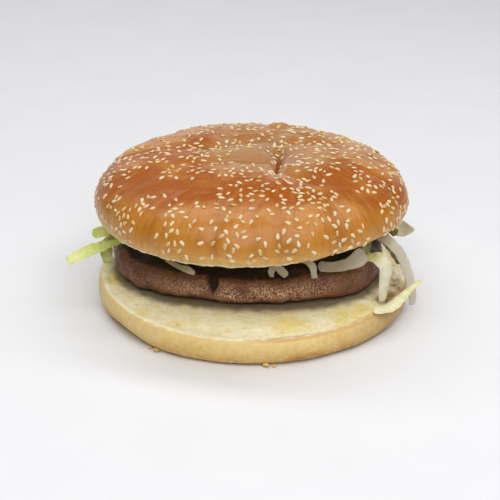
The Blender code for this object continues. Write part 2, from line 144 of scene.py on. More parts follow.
def blank_points(shape):
    """Each point of a blank, with its angle, its share of the radius, its level and its spoke."""
    for vert in shape.verts:
        angle = math.atan2(vert.co.y, vert.co.x)
        yield vert, angle, vert.co.xy.length, vert.co.z, ray(angle)


def notes(shape, *names):
    """Layers of one value for each point, new ones or kept, which a material can read by name."""
    layers = shape.verts.layers.float
    return [layers.get(name) or layers.new(name) for name in names]


def stood(name, data):
    """A new object in the scene: a mesh, a lamp or a camera."""
    made = bpy.data.objects.new(name, data)
    bpy.context.scene.collection.objects.link(made)
    return made


def finished(shape, name, finish):
    """Turns a bmesh into a smooth piece that rides on the burger."""
    bmesh.ops.recalc_face_normals(shape, faces=shape.faces)
    for face in shape.faces:
        face.smooth = True
    mesh = bpy.data.meshes.new(name)
    shape.to_mesh(mesh)
    shape.free()
    mesh.materials.append(finish)
    piece = stood(name, mesh)
    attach(piece, "root")
    triangles = sum(len(polygon.vertices) - 2 for polygon in mesh.polygons)
    size = [round(value * 1000, 1) for value in piece.dimensions]
    print(f"{name}: {triangles} triangles, {size} mm")
    return piece


# %% [markdown]
# Materials are built from nodes. Small helpers keep the later cells short: they start a
# material, add a node and wire its inputs, read a place or a painted note, lay colours over
# one another, and stack bumps. Their nodes go into tree, which is always the node tree of the
# material that was started last. Nearly all patterns lie in millimetres, true to size.

# %% Material helpers


def wire(node, **inputs):
    """Sets inputs by name, or by i and a number: a socket is linked, and a value is filled in."""
    for name, value in inputs.items():
        numbered = name[0] == "i" and name[1:].isdigit()
        socket = node.inputs[int(name[1:]) if numbered else name.replace("_", " ")]
        if isinstance(value, bpy.types.NodeSocket):
            node.id_data.links.new(value, socket)
        else:
            socket.default_value = value


def new_material(name, **inputs):
    """A node material, its node tree, and its shader with some inputs set."""
    made = bpy.data.materials.new(name)
    made.use_nodes = True
    shader = made.node_tree.nodes["Principled BSDF"]
    wire(shader, **inputs)
    return made, made.node_tree, shader


def add(kind, settings=None, **inputs):
    """A new node in tree, with its settings and inputs."""
    node = tree.nodes.new("ShaderNode" + kind)
    for name, value in (settings or {}).items():
        setattr(node, name, value)
    wire(node, **inputs)
    return node


def scatters(shader, weight, *depths):
    """Lets light into the surface, as deep in millimetres for red, green and blue."""
    radius = [depth * MM for depth in depths]
    wire(shader, Subsurface_Weight=weight, Subsurface_Radius=radius, Subsurface_Scale=1.0)


def place(scale=1.0):
    """Object coordinates in millimetres, divided by a scale."""
    coordinates = add("TexCoord").outputs["Object"]
    return add("Mapping", Vector=coordinates, Scale=[1000.0 / scale] * 3).outputs["Vector"]


def coordinate(axis, scale):
    """One of those coordinates, as X, Y or Z."""
    return add("SeparateXYZ", Vector=place(scale)).outputs[axis]


def noisy(spot, scale=1.0, detail=3.0, rough=0.5):
    """Noise from 0 to 1 over any places."""
    return add("TexNoise", Vector=spot, Scale=scale, Detail=detail, Roughness=rough).outputs["Fac"]


def grain(size, detail=3.0, rough=0.5):
    """Noise whose lumps are about size millimetres across."""
    return noisy(place(size), 1.0, detail, rough)


def ramp(fac, *stops):
    """Colours or greys at places from 0 to 1 of a factor."""
    node = add("ValToRGB", Fac=fac)
    elements = node.color_ramp.elements
    while len(elements) < len(stops):
        elements.new(0.5)
    for element, (position, colour) in zip(elements, stops):
        element.position = position
        element.color = (*colour, 1.0) if isinstance(colour, tuple) else (colour, colour, colour, 1.0)
    return node.outputs["Color"]


def tinted(colour, *layers):
    """Colours laid over a first one: each layer is how much of it shows, and its colour."""
    for amount, tint in layers:
        node = add("Mix", {"data_type": "RGBA"}, i0=amount, i6=colour, i7=(*tint, 1.0))
        colour = node.outputs[2]
    return colour


def mixed(amount, first, second):
    """A second colour, or grey, over a first, both of them sockets."""
    return add("Mix", {"data_type": "RGBA"}, i0=amount, i6=first, i7=second).outputs[2]


def times(first, second):
    return add("Math", {"operation": "MULTIPLY"}, i0=first, i1=second).outputs[0]


def plus(first, second):
    return add("Math", {"operation": "ADD"}, i0=first, i1=second).outputs[0]


def vectors(operation, first, second=(0.0, 0.0, 0.0)):
    return add("VectorMath", {"operation": operation}, i0=first, i1=second).outputs[0]


def painted(name):
    """A value that was stored on the mesh, point by point."""
    return add("Attribute", {"attribute_name": name}).outputs["Fac"]


def bumps(*layers):
    """A normal with stacked bumps: each layer is a height socket and its depth in millimetres."""
    stacked = {}
    for height, depth in layers:
        bump = add("Bump", Height=height, Distance=depth * MM, Strength=1.0, **stacked)
        stacked = {"Normal": bump.outputs["Normal"]}
    return stacked["Normal"]


# %% [markdown]
# ## Camera, light and floor
#
# A burger is photographed from a little above so that the crown and the filling both show.
# The camera stands half a metre away with a long lens. The studio is soft light from four
# wide panels. One hangs overhead. One stands where the front lobes of the crust mirror it,
# which gives them their sheen. One in front opens the gap between the halves, and a low one
# behind draws a veil over the back of the crown. A pale floor sends light back up.

# %% Camera
CAMERA_RISE = math.radians(24)
CAMERA_DISTANCE = 0.502
CAMERA_LENS = 87.84
CAMERA_AIM = Vector((0.0, 0.0, 0.0195))

camera_data = bpy.data.cameras.new("camera")
camera_data.sensor_width = 36.0
camera_data.lens = CAMERA_LENS
camera = stood("camera", camera_data)
outward = Vector((0.0, -math.cos(CAMERA_RISE), math.sin(CAMERA_RISE)))
camera.location = CAMERA_AIM + CAMERA_DISTANCE * outward
camera.rotation_euler = outward.to_track_quat("Z", "Y").to_euler()
bpy.context.scene.camera = camera
print("camera at", [round(value, 3) for value in camera.location])

# %% Light
STUDIO_GREY = (0.86, 0.87, 0.90)
STUDIO_GLOW = 0.05
PANELS_AIM = Vector((0.0, 0.0, 0.03))
PANELS = [
    ("panel_above", (1.5, 0.28), 5.6, (0.0, -0.42, 0.97)),
    ("panel_sheen", (2.2, 0.26), 9.0, (0.10, 0.34, 1.02)),
    ("panel_front", (1.1, 0.60), 7.1, (0.12, -0.92, 0.80)),
    ("panel_back", (2.6, 0.40), 4.4, (-0.10, 1.45, 0.28)),
]

for name, (width, depth), watts, spot in PANELS:
    data = bpy.data.lights.new(name, "AREA")
    data.shape = "RECTANGLE"
    data.size, data.size_y, data.energy = width, depth, watts
    panel = stood(name, data)
    panel.location = spot
    panel.rotation_euler = (panel.location - PANELS_AIM).to_track_quat("Z", "Y").to_euler()
world = bpy.data.worlds.new("studio")
world.use_nodes = True
glow = world.node_tree.nodes["Background"]
glow.inputs["Color"].default_value = (*STUDIO_GREY, 1.0)
glow.inputs["Strength"].default_value = STUDIO_GLOW
bpy.context.scene.world = world
bpy.context.scene.view_settings.view_transform = "Standard"
print("panels:", [light.name for light in bpy.data.lights])

# %% Floor
FLOOR_SIDE = 6.0
FLOOR_DROP = 0.15 * MM
FLOOR_GREYS = ((0.78, 0.78, 0.80), (0.80, 0.80, 0.82))

floor_shape = bmesh.new()
bmesh.ops.create_grid(floor_shape, x_segments=1, y_segments=1, size=FLOOR_SIDE / 2)
bmesh.ops.translate(floor_shape, verts=floor_shape.verts, vec=(0, 0, -FLOOR_DROP))
floor_mesh = bpy.data.meshes.new("floor")
floor_shape.to_mesh(floor_mesh)
floor_shape.free()
floor = stood("floor", floor_mesh)
floor_finish, tree, shader = new_material("pale_floor", Roughness=0.6)
floor_paper = ramp(grain(40.0), (0.3, FLOOR_GREYS[0]), (0.7, FLOOR_GREYS[1]))
wire(shader, Base_Color=floor_paper)
floor_mesh.materials.append(floor_finish)
floor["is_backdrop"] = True
print("floor side in m:", FLOOR_SIDE)

# %% [markdown]
# ## The heel
#
# The lower half of a bun is baked on its side and underside and cut on top. The crust there
# is pale, because it sat in the tin, and the cut face is soft crumb full of small holes. The
# knife left a rim that sits lower than the middle, where the patty holds the crumb level.
# A spun profile with fine rings carries both. Each point keeps notes: crumb, a dark ring by
# the patty that is partly juice and partly painted shade, a painted highlight on the torn
# ridge, toasted, oily or stained. One material reads them.

# %% Heel sizes
HEEL_CENTRE = Vector((1.2, 0.0, 0.0)) * MM
HEEL_RADIUS = 63.85 * MM
HEEL_SEAT = 14.2 * MM
HEEL_RIMS = [11.0, 10.4, 10.2, 11.2, 12.8, 11.4, 10.5, 10.7]
HEEL_TUCK = (math.radians(-144), 1.7 * MM, math.radians(9))
TOASTED_RIM = math.radians(-52)
SCORCHED_FOOT = math.radians(-153)
OIL_SPOTS = [
    (14.7, -51.1, 6), (36.3, -42.8, 6), (43.2, -37.7, 4), (-42.1, -42.5, 3), (-29.4, -50.8, 3),
    (-55.0, -13.3, 5), (-20.0, 56.0, 6), (30.0, 50.0, 5), (52.0, 26.0, 4), (-48.0, 34.0, 5),
]
STAIN_SPOTS = [
    (53.0, -29.0, 3.6), (57.4, -24.0, 5.0), (60.2, -18.5, 4.4), (60.0, -12.5, 2.6),
    (44.0, 46.0, 4.0), (-57.0, 22.0, 3.0),
]


def heel_radius(angle):
    """The heel is round to within a hundredth."""
    return HEEL_RADIUS * (1 + 0.008 * ripple(ray(angle), 0.7, 1))


def heel_share(x, y):
    """How far out a point of the plan lies, from 0 at the middle to 1 at the edge."""
    angle = math.atan2(y - HEEL_CENTRE.y, x - HEEL_CENTRE.x)
    return math.hypot(x - HEEL_CENTRE.x, y - HEEL_CENTRE.y) / heel_radius(angle)


def heel_top(x, y):
    """Height of the cut face: level where the patty sits, and falling to the rim."""
    angle = math.atan2(y - HEEL_CENTRE.y, x - HEEL_CENTRE.x)
    rim = around(HEEL_RIMS, angle) * MM
    return HEEL_SEAT + (rim - HEEL_SEAT) * smooth((heel_share(x, y) - 0.60) / 0.40)


PATTY_CENTRE = Vector((-0.8, 6.0, 0.0)) * MM
PATTY_RADII = [
    54.6, 52.6, 52.0, 51.6, 51.0, 51.6, 52.6, 53.6, 55.0, 55.2, 52.6, 48.8, 48.6, 51.2, 55.6, 57.0,
]


def outside_patty(x, y):
    """How far a point of the plan lies outside the patty's edge."""
    here = Vector((x, y, 0.0)) - PATTY_CENTRE
    return here.length - around(PATTY_RADII, math.atan2(here.y, here.x)) * MM


print("cut face in mm, middle and front rim:", heel_top(0, 0) / MM, heel_top(0, -0.0625) / MM)

# %% Heel shape
HEEL_SIDE = [
    (0.93, 0.0), (0.965, 0.07), (0.99, 0.28), (1.0, 0.55), (0.994, 0.8), (0.980, 0.96), (0.966, 1.0),
]
HEEL_STEPS = 420
SIDE_ROWS = 26
CUT_FACE = 2.0


def crumb_holes(point, depth):
    """Open crumb: a few round pits, as depths below the surface."""
    near = noise.voronoi(Vector(point) / (3.4 * MM), distance_metric="DISTANCE")[0][0]
    patchy = max(0.0, ripple(point, 6 * MM, 4))
    return depth * patchy * max(0.0, 0.45 - near)


def tuck(angle):
    """How far the bottom crust curls up off the table, in its one wrinkle at the front left."""
    middle, height, width = HEEL_TUCK
    return height * bell((angle - middle) / width)


def dabs(point, spots):
    """How strongly a point lies in some ragged spots, each an x, a y and a radius in millimetres."""
    here = Vector((point.x, point.y, 0.0)) / MM
    strength = max(bell((here - Vector((x, y, 0.0))).length / radius) for x, y, radius in spots)
    return smooth(1.5 * strength) * (0.5 + 0.5 * smooth(0.6 + 1.2 * ripple(here, 3.5, 62)))


def sunny_side(angle):
    """The stretch of the rim that the oven toasted most."""
    return smooth((math.cos(angle - TOASTED_RIM) - 0.72) / 0.16)


def side_profile(pairs, rows):
    """A fine profile, as (share of the radius, level) points, along a smooth line through pairs."""
    points = [along([Vector(pair) for pair in pairs], step / rows) for step in range(rows + 1)]
    return [(point.x, point.y) for point in points]


cut_rows = [0.964 - 0.008 * step for step in range(66)] + [0.40, 0.32, 0.2, 0.1, 0.0]
heel_profile = [(0.0, 0.0), (0.4, 0.0), (0.75, 0.0), (0.87, 0.0), (0.9, 0.0)]
heel_profile += side_profile(HEEL_SIDE, SIDE_ROWS) + [(share, CUT_FACE) for share in cut_rows]
heel_shape = spun(heel_profile, HEEL_STEPS)
HEEL_NOTES = ("crumb", "juice_shade", "ridge", "toast", "oil", "stain")
crumb_note, juice_shade_note, rim_highlight_note, toast_note, oil_note, stain_note = notes(heel_shape, *HEEL_NOTES)
for vert, angle, share, level, spoke in blank_points(heel_shape):
    flat = spoke * share * heel_radius(angle)
    rim = around(HEEL_RIMS, angle) * MM
    if level > 1.5:
        torn = smooth((share - 0.80) / 0.10)
        flat *= 1 + 0.004 * torn * ripple(flat, 3 * MM, 9)
        vert.co = flat + HEEL_CENTRE
        lumps = 0.35 * ripple(flat, 7 * MM, 2) + 0.22 * ripple(flat, 3 * MM, 6)
        chunks = 0.9 * max(0.0, ripple(flat, 3.6 * MM, 5) - 0.08) + 0.3 * ripple(flat, 1.5 * MM, 19)
        ridge = bell((share - 0.956) / 0.008) * smooth(0.6 + 1.6 * ripple(flat, 9 * MM, 18))
        relief = smooth((share - 0.6) / 0.2) * (lumps - 0.25)
        relief += 1.3 * torn * chunks * (0.6 + ripple(flat, 14 * MM, 8))
        vert.co.z = heel_top(vert.co.x, vert.co.y) + MM * (relief + 0.4 * ridge)
        vert.co.z -= crumb_holes(flat, 0.5 * MM) * smooth((share - 0.5) / 0.15)
        vert[crumb_note] = 1.0
        # Painted highlight along the torn ridge, left off the toasted stretch.
        vert[rim_highlight_note] = ridge * (1 - sunny_side(angle))
        vert[toast_note] = ridge * sunny_side(angle)
        # Painted shade, partly juice: a dark ring on the crumb just outside the patty's edge.
        gap = outside_patty(vert.co.x, vert.co.y) / MM + 1.2 * ripple(flat, 4 * MM, 20)
        vert[juice_shade_note] = 1 - smooth((gap + 0.8) / (3.8 + 1.4 * smooth(1 - abs(flat.x) / (45 * MM))))
        vert[oil_note] = dabs(vert.co, OIL_SPOTS)
        vert[stain_note] = dabs(vert.co, STAIN_SPOTS)
    else:
        if level > 0.03:
            waves = 0.006 * ripple((flat.x, flat.y, level * rim), 13 * MM, 3)
            fine = 0.0016 * ripple((flat.x, flat.y, 3 * level * rim), 3 * MM, 10)
            flat *= 1 + waves + fine
        curl = tuck(angle) * smooth((share - 0.87) / 0.06) * (1 - smooth(level / 0.45))
        flat -= spoke * 1.1 * curl
        vert.co = flat + HEEL_CENTRE
        ragged = 0.5 * MM * smooth((level - 0.8) / 0.2) * ripple(flat, 2.4 * MM, 5)
        vert.co.z = level * rim + ragged + curl
        vert[crumb_note] = smooth((level - 0.985 + 0.02 * ripple(flat, 2 * MM, 12)) / 0.015)
        vert[stain_note] = dabs(vert.co, STAIN_SPOTS) * smooth((level - 0.9) / 0.08)
        # Painted highlight along the top of the side.
        vert[rim_highlight_note] = 0.8 * smooth((level - 0.96) / 0.04) * (1 - sunny_side(angle))
        scorched = smooth((math.cos(angle - SCORCHED_FOOT) - 0.93) / 0.06) * smooth((0.62 - level) / 0.3)
        vert[toast_note] = max(0.9 * smooth((level - 0.90) / 0.08) * sunny_side(angle), 0.5 * scorched)
print("heel points:", len(heel_shape.verts))

# %% [markdown]
# Baked flour is not one colour. The side goes from cream at the cut to a deeper gold at the
# foot, with blotches, and painted shade darkens it towards the right. The crumb is ivory
# with yellow patches where fat ran down, a brown stain at the right and a dark ring round the
# patty, partly juice and partly painted shade. A painted highlight runs along the torn ridge.

# %% Heel finish
CRUMB_IVORY = (0.99, 0.89, 0.61)
CRUMB_SHADE = (0.92, 0.77, 0.42)
CRUMB_BRIGHT = (0.99, 0.92, 0.69)
CRUMB_OIL = (0.90, 0.73, 0.27)
CRUMB_STAIN = (0.30, 0.17, 0.055)
CRUMB_JUICE_SHADE = (0.16, 0.115, 0.055)
SIDE_PALE = (0.77, 0.57, 0.24)
SIDE_GOLD = (0.70, 0.45, 0.14)
SIDE_DUSTY = (0.86, 0.65, 0.28)
SIDE_PAINTED_SHADE = (0.40, 0.26, 0.11)
SIDE_TOAST = (0.62, 0.34, 0.09)
FOOT_BROWN = (0.46, 0.23, 0.065)

heel_finish, tree, shader = new_material("bun_crumb_finish", Specular_IOR_Level=0.3)
rightward = coordinate("X", 60.0)
blotch = plus(grain(16.0, 4.0, 0.6), -0.5)
side_level = plus(coordinate("Z", 10.0), times(blotch, 1.7))
# Painted shade: the side is made darker towards the right, by this shift and by the ramp below.
side_level = plus(side_level, times(rightward, -0.16))
side_colour = ramp(side_level, (0.03, FOOT_BROWN), (0.10, SIDE_TOAST), (0.36, SIDE_GOLD), (0.95, SIDE_PALE))
dusty = ramp(grain(2.6, 4.0, 0.65), (0.44, 0.0), (0.64, 0.55))
right_end_shade = ramp(rightward, (0.45, 0.0), (0.95, 0.6))
side_colour = tinted(side_colour, (dusty, SIDE_DUSTY), (right_end_shade, SIDE_PAINTED_SHADE))

bits = grain(1.8, 3.0, 0.6)
# The dark ring by the patty is partly juice and partly painted shade.
crumb_colour = tinted(
    ramp(grain(6.0, 5.0, 0.62), (0.36, CRUMB_SHADE), (0.56, CRUMB_IVORY)),
    (ramp(bits, (0.56, 0.0), (0.66, 0.7)), CRUMB_BRIGHT),
    (ramp(bits, (0.34, 0.55), (0.42, 0.0)), CRUMB_OIL),
    (painted("oil"), CRUMB_OIL),
    (times(painted("juice_shade"), 0.88), CRUMB_JUICE_SHADE),
)
# The ridge layer below is a painted highlight along the torn rim.
heel_colour = tinted(
    mixed(painted("crumb"), side_colour, crumb_colour),
    (painted("stain"), CRUMB_STAIN),
    (times(painted("ridge"), 0.8), CRUMB_BRIGHT),
    (times(painted("toast"), 0.7), SIDE_TOAST),
)
crumb_dull = ramp(painted("crumb"), (0.2, 0.5), (0.8, 0.9))
scatters(shader, 0.2, 1.8, 1.2, 0.6)

pores = plus(grain(0.9, 4.0, 0.7), -0.5)
tears = plus(grain(3.2, 4.0, 0.65), -0.5)
heel_bumps = bumps(
    (grain(4.0, 4.0, 0.6), 0.22), (times(tears, painted("crumb")), 1.1),
    (times(pores, painted("crumb")), 0.40), (pores, 0.05),
)
wire(shader, Base_Color=heel_colour, Roughness=crumb_dull, Normal=heel_bumps, Coat_Normal=heel_bumps)
print("crumb finish:", len(tree.nodes), "nodes")

# %% Heel piece
heel = finished(heel_shape, "heel", heel_finish)
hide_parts("bun_heel")

# %% [markdown]
# ## The patty
#
# Minced beef is a mass of short strands pressed into a disc, so its edge is lumpy at three
# sizes: the hand's, the mince's and the grain's. A finely spun disc is pushed in and out by
# noise at each size, and by rounded cells for the mince itself. The underside stays on the
# crumb and the middle of the top stays level, because both carry weight.

# %% Patty sizes
PATTY_GAP = 0.4 * MM
PATTY_FOOT = HEEL_SEAT + PATTY_GAP
PATTY_TOP = 25.8 * MM
PATTY_SIDE = [
    (0.94, 0.0), (0.985, 0.06), (1.0, 0.24), (0.998, 0.5),
    (0.99, 0.74), (0.974, 0.91), (0.945, 0.985), (0.91, 1.0),
]
PATTY_STEPS = 440
PATTY_ROWS = 50
PATTY_FEET = [
    53.8, 51.8, 51.2, 50.8, 50.2, 50.8, 51.8, 52.8, 54.0, 54.0, 51.4, 46.8, 47.4, 50.4, 55.0, 56.4,
]
PATTY_EDGES = [
    26.2, 25.8, 25.8, 25.6, 25.4, 25.4, 25.2, 24.6, 23.6, 23.0, 24.0, 24.8, 24.2, 24.8, 26.0, 26.4,
]
FOOT_DENT = (math.radians(-58), 2.4, math.radians(8))
FAT_SHEEN_BAND = (-1.0 * MM, 27 * MM)
NOTCH = Vector((-14.4, -41.0, 25.0)) * MM
NOTCH_DEPTH = 3.6 * MM

print("patty thickness in mm:", round((PATTY_TOP - PATTY_FOOT) / MM, 1))

# %% Patty shape


def mince(point, size):
    """Rounded granules with creases between them, from -1 to 1."""
    nearest, second = noise.voronoi(Vector(point) / size, distance_metric="DISTANCE")[0][:2]
    return min(1.0, 2.2 * (second - nearest)) - 0.5 - 0.5 * nearest


def patty_reach(angle, level):
    """Radius of the side at a level from 0 to 1: the foot is drawn in, and has one dent."""
    middle, depth, width = FOOT_DENT
    foot = around(PATTY_FEET, angle) - depth * bell((angle - middle) / width)
    widest = around(PATTY_RADII, angle)
    return MM * (foot + (widest - foot) * smooth(level / 0.45))


patty_profile = [(0.0, 0.0), (0.4, 0.0), (0.7, 0.0), (0.85, 0.0)] + side_profile(PATTY_SIDE, PATTY_ROWS)
patty_profile += [(0.90 - 0.02 * step, 1.0) for step in range(27)] + [(0.3, 1.0), (0.15, 1.0), (0.0, 1.0)]
patty_shape = spun(patty_profile, PATTY_STEPS)
deep_note, fat_sheen_note = notes(patty_shape, "deep", "fat")
for vert, angle, share, level, spoke in blank_points(patty_shape):
    flat = spoke * share * patty_reach(angle, level)
    spot = Vector((flat.x, flat.y, level * 11 * MM))
    lump = ripple((flat.x, flat.y, level * 9 * MM), 8 * MM, 5)
    broad = ripple((flat.x, flat.y, level * 6 * MM), 15 * MM, 25)
    edge = smooth((share - 0.76) / 0.14)
    granules = 0.45 * mince(spot, 3.6 * MM) + 0.25 * mince(spot + Vector((5, 2, 1)) * MM, 1.7 * MM)
    push = 0.9 * broad + 1.0 * lump + 0.42 * granules
    push += 0.55 * ripple(spot, 4 * MM, 14) + 0.22 * ripple(spot, 1.3 * MM, 24)
    flat += spoke * edge * push * MM
    height = PATTY_FOOT + level * (PATTY_TOP - PATTY_FOOT)
    notch = NOTCH - (flat + PATTY_CENTRE + Vector((0, 0, height)))
    half_width = MM * (0.5 + 1.9 * smooth(1 - notch.z / (8 * MM)))
    cut = smooth(1.2 - abs(notch.x) / half_width) * smooth(1.2 - notch.z / (7 * MM)) * (flat.y < 0)
    flat -= spoke * NOTCH_DEPTH * cut * edge
    flat += PATTY_CENTRE
    seat = heel_top(flat.x, flat.y) + PATTY_GAP
    rim = around(PATTY_EDGES, angle) * MM
    top = PATTY_TOP + (rim - PATTY_TOP) * smooth((share - 0.7) / 0.2)
    top += MM * (min(0.4, 0.6 * lump) + 0.45 * min(0.3, granules))
    rise = max(0.0, 0.4 * granules + 1.5 * ripple(flat, 7 * MM, 6)) * edge * (1 - smooth(level / 0.35))
    vert.co = flat
    vert.co.z = seat + level * (top - seat) + rise * MM
    # Painted shade: the deep note darkens granule creases, the notch, the top and the side's foot.
    sooty = ripple((flat.x, flat.y, 0.0), 6 * MM, 44)
    shaded = 1.3 * smooth((0.945 + 0.02 * sooty - share) / 0.06) * (level > 0.5)
    shaded += 0.8 * smooth((level - 1.0 + 0.25 * sooty) / 0.20) + 0.9 * smooth((0.26 - level) / 0.26)
    vert[deep_note] = max(0.0, min(1.0, 0.12 - 0.45 * granules - 0.35 * lump + 1.6 * cut + 0.6 * shaded))
    # Partly painted sheen: pale fat flecks gather in a band at mid-height across the middle.
    middle, width = FAT_SHEEN_BAND
    band = bell((level - 0.56) / 0.30) * bell((spot.x - middle) / width)
    vert[fat_sheen_note] = band * smooth(0.75 + 1.1 * ripple(spot, 9 * MM, 41))
print("patty points:", len(patty_shape.verts))

# %% [markdown]
# Cooked beef is grey-brown with warmer and darker patches. Painted shade makes it near-black
# in its creases, in the notch, over its top under the crown and at the foot of its side. Its
# middle is flecked with pale fat. The flecks gather in a band at mid-height, where they are
# also painted sheen. It shines in small spots. The flecks matter more than the colour:
# without small bright points the patty looks like soil.

# %% Patty finish
BEEF_RED = (0.122, 0.038, 0.016)
BEEF_BROWN = (0.188, 0.070, 0.027)
BEEF_TAN_SHEEN = (0.86, 0.54, 0.32)
BEEF_PAINTED_SHADE = (0.024, 0.011, 0.008)
DEEP_DULL = (0.75, 0.75, 0.75)

patty_finish, tree, shader = new_material("grilled_beef_finish", Specular_IOR_Level=0.35)
fine_mix = grain(0.62, 3.0, 0.7)
fat_sheen_here = plus(times(painted("fat"), 1.45), 0.05)
flecks = ramp(fine_mix, (0.45, 0.0), (0.62, 1.0))
beef = tinted(
    ramp(grain(8.0, 4.0, 0.6), (0.36, BEEF_RED), (0.60, BEEF_BROWN)),
    (times(flecks, fat_sheen_here), BEEF_TAN_SHEEN),
    (ramp(fine_mix, (0.34, 0.55), (0.46, 0.0)), BEEF_RED),
    # The deep layer is painted shade, near-black.
    (ramp(painted("deep"), (0.30, 0.0), (0.90, 0.95)), BEEF_PAINTED_SHADE),
)
wet = ramp(grain(2.0, 3.0, 0.6), (0.42, 0.32), (0.62, 0.60))
wet = tinted(wet, (painted("deep"), DEEP_DULL))
scatters(shader, 0.08, 1.2, 0.5, 0.3)
beef_bumps = bumps((grain(1.6, 4.0, 0.65), 0.30), (grain(0.6, 2.0), 0.14))
wire(shader, Base_Color=beef, Roughness=wet, Normal=beef_bumps, Coat_Normal=beef_bumps)
print("beef finish:", len(tree.nodes), "nodes")

# %% Patty piece
patty = finished(patty_shape, "beef", patty_finish)
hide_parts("patty")

# %% [markdown]
# ## The crown
#
# The dough for this bun was folded into the middle before it rose, so the baked dome has
# soft lobes with seams between them that meet off-centre in a small star. The spun mesh is
# made to converge on that star rather than on the axis, which puts its finest faces where
# the seams are tightest. Each seam is a narrow crease inside a broad valley. Creases run on
# down the flank, and at the back a seam has torn up into a small lip.

# %% Crown sizes
CROWN_CENTRE = Vector((0.6, 0.0, 0.0)) * MM
CROWN_RADIUS = 62.8 * MM
CROWN_WIDEST = 44.0 * MM
CROWN_TOP = 61.3 * MM
CROWN_SQUARENESS = 4.4
CROWN_RIMS = [39.0, 38.6, 38.4, 38.2, 37.4, 38.2, 39.2, 41.2]
STAR = Vector((11.0, 4.0, 0.0)) * MM
PALE_SHEEN_LOBES = math.radians(-87)
SEAMS = [
    ([(11, 8), (11, -3), (9.4, -13), (8.8, -21), (7.6, -34)], 3.4, 2.8),
    ([(11, 6), (9.6, 14), (7.6, 22), (10, 30), (12, 42)], 2.2, 3.4),
    ([(7.5, 21), (-4, 18), (-16, 11.5), (-27, 10.5), (-42, 6)], 2.0, 4.2),
    ([(9, -6), (3, -5), (-8, -5), (-20, -10), (-36, -20)], 2.0, 4.4),
    ([(11, 13), (17, 18.5), (26, 19), (34, 16), (46, 12)], 2.0, 4.0),
    ([(10, -14), (15, -20), (24, -26), (34, -26), (46, -25)], 1.8, 4.4),
]
LIP = (Vector((12.0, 41.0, 0.0)) * MM, 1.5 * MM, 3.0 * MM)
CREASES = [
    (-152, 0.5), (-132, 0.9), (-112, 1.2), (-99, 0.8), (-88, 1.0), (-69, 1.2), (-50, 0.7), (-28, 0.5),
    (-5, 0.8), (18, 0.6), (41, 1.0), (66, 0.7), (93, 0.9), (118, 0.6), (146, 1.0), (175, 0.7),
]

# %% Seam relief
SEAM_STEPS = 60

seam_lines = []
for seam, depth, width in SEAMS:
    path = [Vector((x, y, 0.0)) * MM for x, y in seam]
    line = KDTree(SEAM_STEPS + 1)
    for step in range(SEAM_STEPS + 1):
        line.insert(along(path, step / SEAM_STEPS), step)
    line.balance()
    seam_lines.append((line, depth * MM, width * MM))


def seam_relief(x, y):
    """How far the crust dips into its seams at a point, less the height of the lip."""
    here = Vector((x, y, 0.0))
    dip = 0.0
    for line, depth, width in seam_lines:
        _, step, distance = line.find(here)
        across = distance / width
        fade = depth * (1 - smooth((step / SEAM_STEPS - 0.45) / 0.55))
        dip = max(dip, fade * (0.6 * bell(across) + 0.4 * bell(0.35 * across)))
    middle, height, width = LIP
    away = here - middle
    torn = 1 + 0.8 * ripple(here, 2.2 * MM, 34)
    return dip - height * torn * bell(away.x / (1.5 * width)) * bell(away.y / (0.8 * width))


def slit(x, y):
    """The open part of the front seam, where the lobes never quite met."""
    line, _, _ = seam_lines[0]
    _, step, distance = line.find(Vector((x, y, 0.0)))
    t = step / SEAM_STEPS
    opening = smooth((t - 0.10) / 0.12) * (1 - smooth((t - 0.50) / 0.14))
    width = (0.75 + 0.35 * ripple((x, y, 0.0), 3 * MM, 33)) * MM
    return opening * bell(distance / width)


print("relief at the star:", round(seam_relief(STAR.x, STAR.y) / MM, 2), "mm")

# %% Crown surface


def crown_radius(angle):
    """The crown, too, is round to within a hundredth."""
    return CROWN_RADIUS * (1 + 0.007 * ripple(ray(angle), 0.8, 11))


def crease(x, y, share):
    """Depth of the creases that run down the flank between the folded lobes."""
    away = Vector((x, y, 0.0)) - STAR
    turn = math.degrees(math.atan2(away.y, away.x)) + 5 * ripple((x, y, 0.0), 14 * MM, 53)
    dip = 0.0
    for direction, depth in CREASES:
        off = abs((turn - direction + 180) % 360 - 180)
        across = math.radians(off) * away.length / (1.7 * MM)
        dip = max(dip, depth * (0.6 * bell(across) + 0.6 * bell(0.33 * across)))
    return MM * dip * smooth((share - 0.62) / 0.24)


def crown_top(x, y):
    """Height of the dome over a point of the plan, measured from the crown's own middle."""
    angle = math.atan2(y, x)
    share = min(1.0, math.hypot(x, y) / crown_radius(angle))
    dome = math.sqrt(1 - share**CROWN_SQUARENESS)
    broad = 0.45 * MM * ripple((x, y, 0.0), 26 * MM, 12)
    furrows = ripple((math.cos(angle), math.sin(angle), 0.4 * share), 0.24, 35)
    broad += 0.7 * MM * smooth((share - 0.45) / 0.3) * furrows
    relief = (broad - seam_relief(x, y)) * min(1.0, 1.6 * dome)
    return CROWN_WIDEST + (CROWN_TOP - CROWN_WIDEST) * dome + relief


print("dome in mm, over the middle:", round(crown_top(0, 0) / MM, 1))

# %% Crown shape
DOME_ROWS = 120
FLANK_ROWS = 16
UNDER_ROWS = 24
CROWN_STEPS = 340
CROWN_INSIDE = 38.5 * MM
RAGGED_RIM = (-0.95, 0.35)

